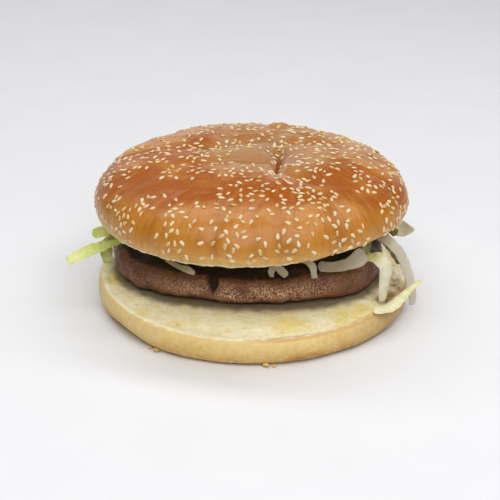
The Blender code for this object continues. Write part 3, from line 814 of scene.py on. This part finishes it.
flank_levels = [step / FLANK_ROWS for step in range(FLANK_ROWS)]
crown_profile = [(0.955 * step / UNDER_ROWS, -2.0) for step in range(UNDER_ROWS)]
crown_profile += [(1 - 0.045 * (1 - level) ** 3.5, level) for level in flank_levels]
crown_profile += [(math.sin(0.5 * math.pi * (1 - step / DOME_ROWS)), 3.0) for step in range(DOME_ROWS + 1)]
crown_shape = spun(crown_profile, CROWN_STEPS)
crumb_note, seam_shade_note, deep_note, sandy_sheen_note = notes(crown_shape, "crumb", "seam", "deep", "sandy_sheen")
for vert, angle, share, level, spoke in blank_points(crown_shape):
    rim = around(CROWN_RIMS, angle) * MM
    flat = spoke * share * crown_radius(angle)
    if level > 2.0:
        flat += STAR * (1 - share)
        wrinkle = 0.10 * ripple(flat, 6 * MM, 15) + 0.04 * ripple(flat, 2 * MM, 16)
        opened = slit(flat.x, flat.y)
        dip = seam_relief(flat.x, flat.y)
        lines = 0.24 * ripple((0.2 * flat.x, flat.y, 0.0), 2.2 * MM, 51)
        lines *= smooth(0.8 + ripple(flat, 18 * MM, 52))
        steep = smooth((share - 0.84) / 0.14)
        fold = crease(flat.x, flat.y, share)
        flat.z = crown_top(flat.x, flat.y) + (wrinkle + lines * (1 - steep)) * MM - 1.3 * MM * opened
        flat.z -= fold * (1 - steep)
        flat -= spoke * fold * steep
        # Painted shade: the seams, the open slit and the creases are darkened in colour.
        vert[seam_shade_note] = min(1.0, 0.7 * opened + 0.16 * max(0.0, dip / MM) + 0.30 * fold / MM)
        patchy = ripple(flat, 13 * MM, 54) + 0.5 * ripple(flat, 5 * MM, 55)
        # The deep belt is kept off the front lobes, so their lighter crust is partly painted sheen.
        frontal = smooth((math.cos(angle - PALE_SHEEN_LOBES) - 0.55) / 0.4)
        outer = 1.02 - 0.19 * frontal + 0.05 * patchy
        belt = smooth((outer - share) / 0.12) * smooth((share - 0.30 + 0.10 * patchy) / 0.22)
        right_side = smooth((flat.x - 26 * MM) / (16 * MM)) * smooth((flat.y + 14 * MM) / (14 * MM))
        sheen_side = max(smooth(flat.y / (34 * MM)), right_side)
        vert[deep_note] = belt * smooth(0.95 + 0.8 * patchy - 0.75 * sheen_side)
        # Painted reflection: a mottled sandy grey veil round the star, at the back and at the right.
        vert[sandy_sheen_note] = smooth((0.55 - share) / 0.30 + 1.0 * sheen_side + 0.5 * patchy)
    elif level < -1.0:
        rise = smooth((share - 0.7) / 0.25)
        flat.z = CROWN_INSIDE + (rim - CROWN_INSIDE) * rise + crumb_holes(flat, 1.2 * MM)
        vert[crumb_note] = 1.0
    else:
        middle, width = RAGGED_RIM
        ragged = ripple((flat.x, flat.y, 0.0), 3.4 * MM, 13)
        ragged += 0.6 * ripple((flat.x, flat.y, 0.0), 1.3 * MM, 17)
        ragged *= 1 + 2.4 * bell((angle - middle) / width)
        flat -= flat.normalized() * crease(flat.x, flat.y, 1.0) * (0.2 + 0.8 * level)
        flat.z = rim + (CROWN_WIDEST - rim) * level + 0.6 * MM * max(-0.8, ragged) * (1 - level) ** 4
        vert[crumb_note] = smooth((0.22 + 0.14 * ragged - level) / 0.08)
    vert.co = flat + CROWN_CENTRE
bmesh.ops.recalc_face_normals(crown_shape, faces=crown_shape.faces)
crown_skin = BVHTree.FromBMesh(crown_shape)
print("crown points:", len(crown_shape.verts))

# %% [markdown]
# Egg wash bakes to a thin gloss over a crust that is pale at its foot and orange higher up.
# Two painted notes add a deep brown belt, strongest at the front and left, and a mottled
# sandy grey round the star, at the back and at the right. The sandy grey is a painted veil of
# reflected light. The belt is kept off the front lobes, whose lighter crust is partly painted
# sheen. Painted shade darkens the seams, the open slit and the creases. Streaks run out from
# the star and down the lobes. The gloss is a coat on the shader, with bumps of its own, and
# is thinner over the deep belt.

# %% Crown finish
CRUST_DEEP = (0.350, 0.083, 0.002)
CRUST_ORANGE = (0.52, 0.208, 0.026)
CRUST_GOLD = (0.57, 0.272, 0.044)
CRUST_SANDY_SHEEN = (0.43, 0.248, 0.108)
CRUST_PALE = (0.67, 0.425, 0.125)
CRUST_FOOT = (0.80, 0.64, 0.32)
CRUST_SEAM_SHADE = (0.27, 0.075, 0.008)

crown_finish, tree, shader = new_material(
    "golden_crust_finish", Specular_IOR_Level=0.12, Coat_Roughness=0.27,
)
blotches = times(grain(15.0, 4.0, 0.55), 0.26)
baked = plus(plus(coordinate("Z", 25.0), blotches), -1.63)
mealy = ramp(grain(4.5, 5.0, 0.65), (0.38, 0.35), (0.58, 1.0))
from_star = vectors("SUBTRACT", place(), (STAR + CROWN_CENTRE) / MM)
spokes = vectors("NORMALIZE", vectors("MULTIPLY", from_star, (1.0, 1.0, 0.0)))
streaks = noisy(vectors("ADD", spokes, place(240.0)), 26.0, 4.0, 0.6)
crust = tinted(
    ramp(baked, (0.06, CRUST_FOOT), (0.12, CRUST_PALE), (0.26, CRUST_GOLD), (0.50, CRUST_ORANGE)),
    # The sandy layer is a painted veil of reflected light.
    (times(painted("sandy_sheen"), mealy), CRUST_SANDY_SHEEN),
    (painted("deep"), CRUST_DEEP),
    (ramp(streaks, (0.34, 0.35), (0.48, 0.0)), CRUST_DEEP),
    (ramp(streaks, (0.52, 0.0), (0.68, 0.35)), CRUST_GOLD),
    (ramp(grain(1.3, 4.0, 0.6), (0.35, 0.22), (0.6, 0.0)), CRUST_DEEP),
    (painted("seam"), CRUST_SEAM_SHADE),
)
crown_crumb = ramp(grain(2.6, 5.0, 0.65), (0.32, CRUMB_SHADE), (0.56, CRUMB_IVORY))
crust = mixed(painted("crumb"), crust, crown_crumb)
gloss = ramp(painted("crumb"), (0.1, 0.42), (0.9, 0.85))
wash = ramp(painted("deep"), (0.0, 0.52), (1.0, 0.28))
scatters(shader, 0.05, 2.0, 0.9, 0.4)
leathery = grain(2.4, 4.0, 0.6)
skin = bumps((streaks, 0.40), (leathery, 0.16), (grain(0.55, 3.0, 0.6), 0.05))
sheen = bumps((streaks, 0.24), (leathery, 0.06), (grain(0.8, 3.0, 0.6), 0.055))
wire(shader, Base_Color=crust, Roughness=gloss, Coat_Weight=wash, Normal=skin, Coat_Normal=sheen)
print("crust finish:", len(tree.nodes), "nodes")

# %% Crown piece
crown = finished(crown_shape, "crown", crown_finish)
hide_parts("bun_crown")

# %% [markdown]
# ## Sesame seeds
#
# Hulled sesame is a flat drop, here 2 to 3 mm long. The seeds were pressed on wet dough, so
# they lie flat at every angle, sit partly sunk, and gather in the seams. Darts are thrown at
# the dome by area with a fixed seed. A dart that lands on another or on a bare patch is
# dropped, and the first throws are the ones that the solid carries.

# %% Where the seeds lie
BARE_PATCHES = [
    (-42, -18, 6), (-21, -35, 7), (33, -27, 6), (42, -38, 7), (-11, -30, 4), (1, 3, 5), (-38, -47, 5),
]
THIN_PATCHES = [
    (-43, -27, 7), (-31, -32, 7), (-16, -32, 8), (24, -29, 4.5), (39, -35, 7), (20, 4, 3.5), (12, 41, 5),
]
SOLID_SEEDS, SOLID_SPACING = 128, 6.0 * MM
MORE_SEEDS, MORE_SPACING = 700, 1.9 * MM
MOST_TRIES = 60
DOME_STEPS, LOWER_STEPS, LOWEST_DROP = 100, 20, 2.6


def dome_stations():
    """Steps down the dome: share of the radius, drop below the widest level, and area so far."""
    stations = []
    area = 0.0
    before = Vector((0.0, CROWN_TOP))
    for step in range(DOME_STEPS + LOWER_STEPS + 1):
        slant = 0.5 * math.pi * min(1.0, step / DOME_STEPS)
        share = math.sin(slant) ** (2 / CROWN_SQUARENESS)
        drop = max(0, step - DOME_STEPS) / LOWER_STEPS * LOWEST_DROP * MM
        height = CROWN_WIDEST + (CROWN_TOP - CROWN_WIDEST) * math.cos(slant) - drop
        here = Vector((share * CROWN_RADIUS, height))
        area += (here - before).length * 0.5 * (here.x + before.x)
        stations.append((share, drop, area))
        before = here
    return stations


def throw_seeds(draw, count, spacing, kept, clumped):
    """Adds spots and turns for seeds to those kept, off the bare patches."""
    stations = dome_stations()
    areas = [area for _, _, area in stations]
    wanted = len(kept) + count
    for _ in range(MOST_TRIES * count):
        if len(kept) == wanted:
            break
        angle = draw.uniform(0, math.tau)
        share, drop, _ = stations[bisect.bisect_left(areas, draw.uniform(0, areas[-1]))]
        turn = draw.uniform(0, math.tau)
        reach = share * crown_radius(angle)
        spot = Vector((reach * math.cos(angle), reach * math.sin(angle), 0.0))
        spot.z = crown_top(spot.x, spot.y) - drop
        bare = BARE_PATCHES + THIN_PATCHES if clumped else BARE_PATCHES
        if any((spot.xy / MM - Vector((x, y))).length < radius for x, y, radius in bare):
            continue
        in_seam = min(line.find(Vector((spot.x, spot.y, 0.0)))[2] for line, _, _ in seam_lines) < 2.2 * MM
        sparse = 0.35 * smooth((spot.y / MM + 25) / 40)
        sparse += 0.35 * smooth((share - 0.93) / 0.06) * (spot.y > -30 * MM)
        if clumped and draw.random() < sparse:
            continue
        if clumped and not in_seam and ripple(spot, 7 * MM, 31) < draw.uniform(-0.9, 0.05):
            continue
        if all((spot - other).length > spacing for other, _ in kept):
            kept.append((spot, turn))


seed_spots = []
throw_seeds(random.Random(41), SOLID_SEEDS, SOLID_SPACING, seed_spots, False)
throw_seeds(random.Random(8), MORE_SEEDS, MORE_SPACING, seed_spots, True)
print("seeds:", len(seed_spots))

# %% Seed shapes
SEED_HALF = Vector((1.22, 0.68, 0.36)) * MM
SEED_LIFT = 0.08 * MM

seeds_shape = bmesh.new()
notes(seeds_shape, "tone")
one_mesh = bpy.data.meshes.new("one_seed")
draw = random.Random(12)
for spot, turn in seed_spots:
    touch, normal, _, _ = crown_skin.find_nearest(spot + CROWN_CENTRE)
    lean = Vector((draw.gauss(0, 0.10), draw.gauss(0, 0.10), draw.gauss(0, 0.10)))
    size = draw.uniform(0.86, 1.14)
    taper = draw.uniform(0.25, 0.45)
    tone = draw.random()
    seed = bmesh.new()
    tone_note = notes(seed, "tone")[0]
    bmesh.ops.create_uvsphere(seed, u_segments=8, v_segments=6, radius=1.0)
    for vert in seed.verts:
        lengthwise, across, up = vert.co.z, vert.co.x, vert.co.y
        across *= (1 - taper * lengthwise) * (1 - 0.12 * lengthwise**2)
        vert.co = Vector((lengthwise * SEED_HALF.x, across * SEED_HALF.y, up * SEED_HALF.z)) * size
        vert[tone_note] = tone
    lying = (normal + lean).normalized().to_track_quat("Z", "X").to_matrix() @ Matrix.Rotation(turn, 3, "Z")
    stand = Matrix.Translation(touch + normal * SEED_LIFT) @ lying.to_4x4()
    bmesh.ops.transform(seed, matrix=stand, verts=seed.verts)
    seed.to_mesh(one_mesh)
    seed.free()
    seeds_shape.from_mesh(one_mesh)

# %% Seed finish
SEED_CREAM = (0.72, 0.56, 0.31)
SEED_TOASTED = (0.60, 0.39, 0.17)
SEED_WHITE = (0.80, 0.69, 0.45)

seed_finish, tree, shader = new_material("sesame_finish", Roughness=0.42)
seed_tone = ramp(
    painted("tone"), (0.0, SEED_TOASTED), (0.4, SEED_CREAM),
    (0.8, SEED_WHITE), (1.0, SEED_CREAM),
)
toasted = ramp(grain(0.8), (0.4, 0.25), (0.6, 0.0))
seed_colour = tinted(seed_tone, (toasted, SEED_TOASTED))
scatters(shader, 0.3, 1.0, 0.7, 0.4)
seed_bumps = bumps((grain(0.5, 2.0), 0.03))
wire(shader, Base_Color=seed_colour, Normal=seed_bumps, Coat_Normal=seed_bumps)

finished(seeds_shape, "sesame_seeds", seed_finish)

# %% [markdown]
# ## Onion and lettuce
#
# Sliced onion is a stack of wet, half-clear layers with fine lines along each slice.
# Shredded iceberg is thin and ruffled, green at the leaf's edge and nearly white at its rib.
# Both are strips here: a small ring of points is extruded along a smooth line, turning its
# broad side as it goes, and its width, edge and thickness waver a little.

# %% Strip maker


def strip(shape, points, widths, thick, faces, steps, sides, seed, frill, fold, tones):
    """A thin closed strip along a smooth line, added to a bmesh. Lengths are in millimetres."""
    across_note, tone_note = notes(shape, "across", "tone")
    path = [Vector(point) * MM for point in points]
    turns = [Vector(face) for face in faces]
    length = sum((after - before).length for before, after in zip(path, path[1:]))
    ring = bmesh.ops.create_circle(shape, cap_ends=True, radius=1.0, segments=sides)["verts"]
    corners = [vert.co.copy() for vert in ring]
    for step in range(steps + 1):
        t = step / steps
        middle = along(path, t)
        ahead = (along(path, min(1.0, t + 0.01)) - along(path, max(0.0, t - 0.01))).normalized()
        broad = along(turns, t)
        up = (broad - broad.dot(ahead) * ahead).normalized()
        side = ahead.cross(up)
        half = 0.5 * MM * along(widths, t)
        from_end = min(1.0, min(t, 1 - t) * length / (0.9 * half))
        taper = 0.16 + 0.84 * math.sqrt(1 - (1 - from_end) ** 2)
        half *= taper
        drift = 0.25 * MM * ripple(middle, 5 * MM, seed + 7)
        for vert, corner in zip(ring, corners):
            edge = abs(corner.x)
            spot = middle + side * (corner.x * half)
            lift = 0.5 * MM * thick * corner.y * (1 - 0.3 * edge) * (0.5 + 0.5 * taper)
            crest = fold * MM * (edge**2 - 0.35) + frill * MM * edge**1.5 * ripple(spot, 2.2 * MM, seed)
            ragged = ripple(spot + up * math.copysign(MM, corner.x), 2.2 * MM, seed + 3)
            reach = half * (1 + (0.06 + 0.14 * min(1.0, frill)) * ragged)
            vert.co = middle + side * (corner.x * reach) + up * (lift + crest + drift)
            vert[across_note] = 0.5 + 0.5 * corner.x
            vert[tone_note] = along(tones, t)
        if step == steps:
            break
        face = [face for face in ring[0].link_faces if all(vert in face.verts for vert in ring)][0]
        pushed = bmesh.ops.extrude_face_region(shape, geom=[face])
        if step:
            bmesh.ops.delete(shape, geom=[face], context="FACES_ONLY")
        fresh = [item for item in pushed["geom"] if isinstance(item, bmesh.types.BMVert)]
        ring = [min(fresh, key=lambda item: (item.co - vert.co).length) for vert in ring]


# %% Onion finish
ONION_CLEAR = (0.62, 0.54, 0.40)
ONION_WHITE = (0.88, 0.82, 0.69)
ONION_SHADY = (0.37, 0.29, 0.20)

onion_finish, tree, shader = new_material("onion_finish", Roughness=0.22, Transmission_Weight=0.25, IOR=1.36)
across = times(painted("across"), 7.0)
lines = noisy(add("CombineXYZ", X=across).outputs[0])
# Painted shade: a high tone dims the onion.
shady = ramp(painted("tone"), (0.3, 0.0), (1.0, 0.85))
onion_colour = ramp(lines, (0.20, ONION_CLEAR), (0.80, ONION_WHITE))
onion_colour = tinted(onion_colour, (shady, ONION_SHADY))
scatters(shader, 0.6, 3.0, 2.7, 1.8)
onion_bumps = bumps((lines, 0.05), (grain(3.5, 2.0), 0.16))
wire(shader, Base_Color=onion_colour, Normal=onion_bumps, Coat_Normal=onion_bumps)
print("onion finish:", len(tree.nodes), "nodes")

# %% Lettuce finish
LETTUCE_WHITE = (0.80, 0.76, 0.60)
LETTUCE_PALE = (0.70, 0.68, 0.37)
LETTUCE_LEAF = (0.54, 0.62, 0.18)
LETTUCE_OLIVE_SHADE = (0.36, 0.32, 0.14)
LETTUCE_BROWN_SHADE = (0.16, 0.095, 0.04)

lettuce_finish, tree, shader = new_material("lettuce_finish", Roughness=0.32)
from_rib = ramp(painted("across"), (0.0, 1.0), (0.5, 0.0), (1.0, 1.0))
mottle = plus(grain(2.6, 4.0, 0.6), -0.5)
greener = plus(times(from_rib, 0.10), painted("tone"))
greener = plus(greener, times(mottle, 0.7))
# The olive and brown ends of this ramp are partly browned leaf and partly painted shade.
leaf_colour = ramp(
    greener, (0.08, LETTUCE_WHITE), (0.30, LETTUCE_PALE), (0.58, LETTUCE_LEAF),
    (0.80, LETTUCE_OLIVE_SHADE), (1.0, LETTUCE_BROWN_SHADE),
)
scatters(shader, 0.5, 1.6, 2.0, 0.6)
leaf_bumps = bumps((grain(1.8, 3.0, 0.6), 0.18))
wire(shader, Base_Color=leaf_colour, Normal=leaf_bumps, Coat_Normal=leaf_bumps)
print("lettuce finish:", len(tree.nodes), "nodes")

# %% [markdown]
# ## The shreds that hang out
#
# These are the pieces that give this burger its outline: three shreds of leaf at the left, a
# leaf draped over the patty's corner with darker leaves beside it, an onion ring outside the
# bun at the right, a shred on the heel's rim, and slices of onion caught under the crown.
# Each follows its solid's line with finer steps. A row of the table holds the piece's name,
# its tones, its line, its widths, its thickness and the way that its broad side faces. Where
# the pieces lie under the crown, high tones dim an onion slice, which is painted shade, and
# darken a leaf to olive and brown, which is partly browned leaf and partly painted shade.

# %% Hanging pieces
HANGING = [
    ("lettuce_left_long", [0.62, 0.50, 0.44],
     [(-47, -8, 28.2), (-54, -12.6, 28.1), (-60, -17, 28.2), (-65.4, -20.6, 27.2), (-71.6, -23.4, 25.2)],
     [2.4, 2.8, 4.4, 4.8, 4.2], 0.45, [(-0.2, -0.5, 1), (-0.1, -0.9, 0.8), (-0.2, -1.0, 0.7)]),
    ("lettuce_left_curl", [0.62, 0.40, 0.46],
     [(-48, 1, 33.0), (-54, -5, 32.4), (-58.6, -11, 32.4), (-62.4, -15, 33.2)],
     [3.4, 4.4, 4.6, 3.6], 0.45, [(-0.2, -0.5, 1), (0.3, -1.0, 0.6)]),
    ("lettuce_left_low", [0.80, 0.70],
     [(-47, 0, 28.7), (-53.4, -5.4, 28.9), (-57.0, -10.2, 27.0), (-57.3, -12.8, 23.8), (-56.8, -13.6, 19.6)],
     [3.4, 4.4, 5.0, 5.4, 4.6], 0.45, [(-0.4, -0.4, 1), (-0.4, -0.9, 0.6), (-0.3, -1, 0.1)]),
    ("onion_front_left", [1.0, 1.0, 0.7],
     [(-32, -34.5, 30.6), (-27, -39.6, 30.2), (-23.4, -41.8, 29.8), (-20.8, -42.6, 28.7)],
     [1.8, 2.0, 2.6, 1.4], 0.72, [(0.0, -0.7, 1), (0, -1, 0.6)]),
    ("onion_front_curl", [0.9, 0.7, 0.8],
     [(8.4, -41.8, 27.0), (8.2, -42.0, 29.6), (9.8, -41.6, 31.0), (12.2, -42.0, 29.2), (13.8, -42.2, 27.4)],
     [2.0, 2.6, 2.6, 3.0, 2.4], 0.96, [(-0.6, -1, 0.2), (-0.2, -1, 0.6), (0.3, -1, 0.5)]),
    ("onion_front_hook", [0.9, 0.6, 0.7],
     [(18.6, -38, 32.0), (21.6, -42.4, 33.4), (23.5, -43.8, 32.0), (23.9, -43.8, 29.4), (24.3, -43.8, 27.4)],
     [2.2, 2.4, 2.6, 2.2, 2.4], 0.96, [(0, -0.6, 1), (0, -1, 0.5), (0, -1, 0.1)]),
    ("onion_front_strip", [1.0, 0.95, 0.7, 0.45, 0.5],
     [(25.8, -38.5, 29.9), (31.9, -38.2, 29.5), (37.2, -35.4, 29.3), (41.2, -32.4, 30.0),
      (44.2, -30.0, 31.4)],
     [3.8, 4.0, 4.6, 6.2, 7.0], 1.92, [(0.1, -1, 0.55), (0.3, -1, 0.5), (0.5, -1, 0.6)]),
    ("lettuce_olive_right", [0.95, 0.84],
     [(43.6, -17.5, 35.6), (45.0, -22.2, 33.8), (44.4, -25.4, 31.8), (43.2, -26.8, 29.8)],
     [4.0, 4.6, 4.4, 3.4], 0.45, [(0.1, -0.8, 0.7), (0.1, -1, 0.4)]),
    ("lettuce_drape", [0.42, 0.22, 0.10, 0.20],
     [(42.5, -21.0, 27.9), (46.4, -26.8, 28.5), (49.4, -30.0, 29.3), (51.7, -31.9, 27.8),
      (52.1, -32.6, 23.6), (51.6, -33.1, 19.0), (51.0, -33.3, 12.4)],
     [2.4, 4.2, 5.4, 5.8, 5.2, 4.2, 2.8], 0.45,
     [(-0.1, -0.4, 1), (0.1, -0.9, 0.6), (0.4, -1, 0.1), (0.4, -1, 0.1)]),
    ("lettuce_brown_right", [0.97, 0.97],
     [(47.0, -5.0, 28.8), (53.4, -8.6, 28.8), (57.6, -11.8, 24.8), (60.2, -13.8, 19.6)],
     [4.4, 5.4, 5.4, 3.0], 0.45, [(0.3, -0.5, 1), (0.5, -1, 0.5)]),
    ("onion_ring_right", [0.7, 0.4, 0.3, 0.35],
     [(47.4, -9.0, 31.8), (52.2, -17.4, 32.6), (56.6, -21.4, 30.3), (59.8, -21.6, 25.6),
      (62.2, -21.0, 19.6), (64.2, -20.4, 13.0), (65.1, -20.2, 4.4)],
     [3.4, 4.2, 4.4, 4.4, 4.2, 3.8, 3.4], 1.36,
     [(-0.3, -0.4, 1), (0.2, -1, 0.9), (0.5, -1, 0.5), (0.6, -1, 0.1)]),
    ("lettuce_dark_right", [1.0, 1.0],
     [(48.6, 1.2, 31.6), (54.6, -5.2, 32.0), (58.8, -9.4, 30.4)],
     [2.6, 3.6, 3.8], 0.45, [(0.2, -0.6, 1), (0.3, -1, 0.4)]),
    ("onion_back_right", [0.6, 0.3, 0.2],
     [(50.0, 6.4, 29.4), (56.5, 3.6, 29.4), (61.6, 0.0, 29.0), (66.2, -4.6, 30.6)],
     [5.0, 7.0, 7.2, 1.8], 1.04, [(0.3, -0.5, 1), (0.4, -1.0, 0.3)]),
    ("lettuce_rim_right", [0.17, 0.20, 0.26, 0.26],
     [(47.3, -41.2, 12.3), (51.0, -40.6, 12.3), (54.4, -38.4, 12.6), (57.8, -34.8, 13.5),
      (61.0, -31.2, 15.2), (63.8, -28.8, 16.8), (67.0, -27.0, 18.0)],
     [2.6, 3.2, 3.8, 3.8, 2.8, 2.0, 2.0], 0.45, [(0.0, -0.8, 1), (0.3, -0.9, 0.9)]),
]
HANGING_STEPS, HANGING_SIDES, HANGING_FOLD = 70, 28, 0.5
LEAF_FRILL, ONION_FRILL = 0.8, 0.5

for name, tones, points, widths, thick, faces in HANGING:
    kind = name.split("_")[0]
    finish, frill = (lettuce_finish, LEAF_FRILL) if kind == "lettuce" else (onion_finish, ONION_FRILL)
    hanging_shape = bmesh.new()
    strip(
        hanging_shape, points, widths, thick, faces, HANGING_STEPS, HANGING_SIDES,
        len(name), frill, HANGING_FOLD, tones,
    )
    hanging = finished(hanging_shape, "shred_" + name, finish)
    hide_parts(name)

# %% [markdown]
# ## The salad inside
#
# Between patty and crown lies a loose heap of the same shreds. Only its rim shows, as bits
# of leaf and onion in deep shade, so a low core fills the middle and a fan of real strips
# lies over its edge at all heights and directions. Whole leaves laid flat would hide the
# dark gaps that make it look loose.

# %% Salad core
BED_X, BED_Y = -1.0, 6.0
BED_CENTRE = Vector((BED_X, BED_Y, 0.0)) * MM
BED_RADII = [41.0, 44.0, 45.0, 44.0, 43.0, 38.0, 35.0, 36.0]
BED_LOW = PATTY_TOP + 0.9 * MM
BED_HIGH = 37.6 * MM
CORE_SHARE = 0.93
CORE_TONE = 0.4
CORE_SIDE = [
    (0.0, 0.0), (0.5, 0.0), (0.85, 0.0), (0.97, 0.18), (1.0, 0.5),
    (0.96, 0.85), (0.8, 1.0), (0.4, 1.0), (0.0, 1.0),
]

core_shape = spun(CORE_SIDE, 96)
bmesh.ops.subdivide_edges(core_shape, edges=core_shape.edges, cuts=2, use_grid_fill=True)
core_across, core_tone = notes(core_shape, "across", "tone")
for vert, angle, share, level, spoke in blank_points(core_shape):
    reach = around(BED_RADII, angle) * MM * CORE_SHARE
    wobble = 1 + 0.06 * ripple(spoke * 9 + Vector((0, 0, 3 * level)), 1.0, 21)
    vert.co = spoke * share * reach * wobble + BED_CENTRE
    sag = 1.2 * MM * abs(ripple(vert.co, 5 * MM, 22)) + 0.6 * MM
    vert.co.z = BED_LOW + level * (BED_HIGH - BED_LOW) + (sag if level < 0.5 else -sag)
    vert[core_across] = 0.5 + 0.5 * ripple(vert.co, 3 * MM, 23)
    vert[core_tone] = CORE_TONE
salad_core = finished(core_shape, "salad_core", lettuce_finish)
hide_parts("salad_bed")

# %% Loose shreds
SHREDS = 150
ONION_SHARE = 0.45
LEAF_TONES = (0.15, 0.35, 0.55, 0.75, 0.95)
SHRED_STEPS, SHRED_SIDES, SHRED_FRILL, SHRED_FOLD = 10, 8, 0.5, 0.3

low, high = BED_LOW / MM + 1.0, BED_HIGH / MM - 1.2
shred_shapes = {"onion": bmesh.new(), "lettuce": bmesh.new()}
draw = random.Random(23)
for number in range(SHREDS):
    kind = "onion" if draw.random() < ONION_SHARE else "lettuce"
    angle = math.tau * (number + draw.random()) / SHREDS
    edge = around(BED_RADII, angle) * (1.0 + 0.10 * draw.random())
    reach = edge + (draw.uniform(2, 8) if math.sin(angle) > -0.55 else draw.uniform(-2, 3))
    start = angle + draw.uniform(-0.5, 0.5)
    bend = 0.5 * (start + angle) + draw.uniform(-0.12, 0.12)
    levels = [draw.uniform(low, high) for _ in range(3)]
    points = [
        (away * math.cos(turn) + BED_X, away * math.sin(turn) + BED_Y, level)
        for away, turn, level in zip((edge - 16, edge - 5, reach), (start, bend, angle), levels)
    ]
    width = draw.uniform(2.2, 5.0)
    tilt = draw.uniform(-0.8, 0.8)
    faces = [(tilt * math.sin(angle), -tilt * math.cos(angle), 1.0)]
    tone = draw.random() if kind == "onion" else draw.choice(LEAF_TONES)
    strip(
        shred_shapes[kind], points, [width, width, 0.6 * width], 1.0, faces,
        SHRED_STEPS, SHRED_SIDES, number, SHRED_FRILL, SHRED_FOLD, [tone, tone],
    )
onion_shreds = finished(shred_shapes["onion"], "onion_shreds", onion_finish)
lettuce_shreds = finished(shred_shapes["lettuce"], "lettuce_shreds", lettuce_finish)
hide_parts("salad_bed")
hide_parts("salad_bed")

# %% [markdown]
# ## Crumbs
#
# A cut bun sheds a few crumbs. They lie on the cut face and at the foot of the heel, and are
# small lumps of the same bread, so they share its finish. The flakes at the foot are crust.

# %% Crumbs
CRUMBS = 46
FOOT_CRUMBS = [
    (5.9, -62.4, 0.9, 1.3), (8.9, -62.9, 0.5, 0.8), (6.4, -61.7, 4.9, 1.6), (9.2, -61.5, 4.3, 1.6),
    (12.0, -61.4, 3.6, 1.4), (-35.6, -50.9, 0.8, 1.2), (-38.2, -48.6, 0.6, 0.7),
]

crumbs_shape = bmesh.new()
crumb_note = notes(crumbs_shape, "crumb")[0]
draw = random.Random(77)
for number in range(CRUMBS):
    angle = draw.uniform(0, math.tau)
    share = draw.uniform(0.88, 0.95)
    reach = share * heel_radius(angle)
    spot = Vector((reach * math.cos(angle), reach * math.sin(angle), 0.0)) + HEEL_CENTRE
    size = draw.uniform(0.35, 0.9) * MM
    spot.z = heel_top(spot.x, spot.y) - 0.1 * size
    made = bmesh.ops.create_icosphere(crumbs_shape, subdivisions=2, radius=size)
    for vert in made["verts"]:
        vert.co *= 1 + 0.6 * ripple(vert.co + spot, 0.9 * size, number)
        vert.co.z *= 0.6
        vert.co += spot
        vert[crumb_note] = 1.0 if draw.random() < 0.8 else 0.6
for x, y, z, size in FOOT_CRUMBS:
    spot = Vector((x, y, z)) * MM
    made = bmesh.ops.create_icosphere(crumbs_shape, subdivisions=3, radius=size * MM)
    for vert in made["verts"]:
        vert.co *= 1 + 0.6 * ripple(vert.co + spot, 0.7 * size * MM, 3)
        vert.co.z *= 0.5
        vert.co += spot
        vert[crumb_note] = 0.0
finished(crumbs_shape, "crumbs", heel_finish)

# %% [markdown]
# ## The sizes at the end
#
# The looks must not outgrow the solids, so both boxes are printed.

# %% Sizes
bpy.context.view_layer.update()
visual_box = [list(corner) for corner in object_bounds()]
for name, box in (("cad", cad_box), ("visual", visual_box)):
    print(name, [[round(value * 1000, 2) for value in corner] for corner in box])
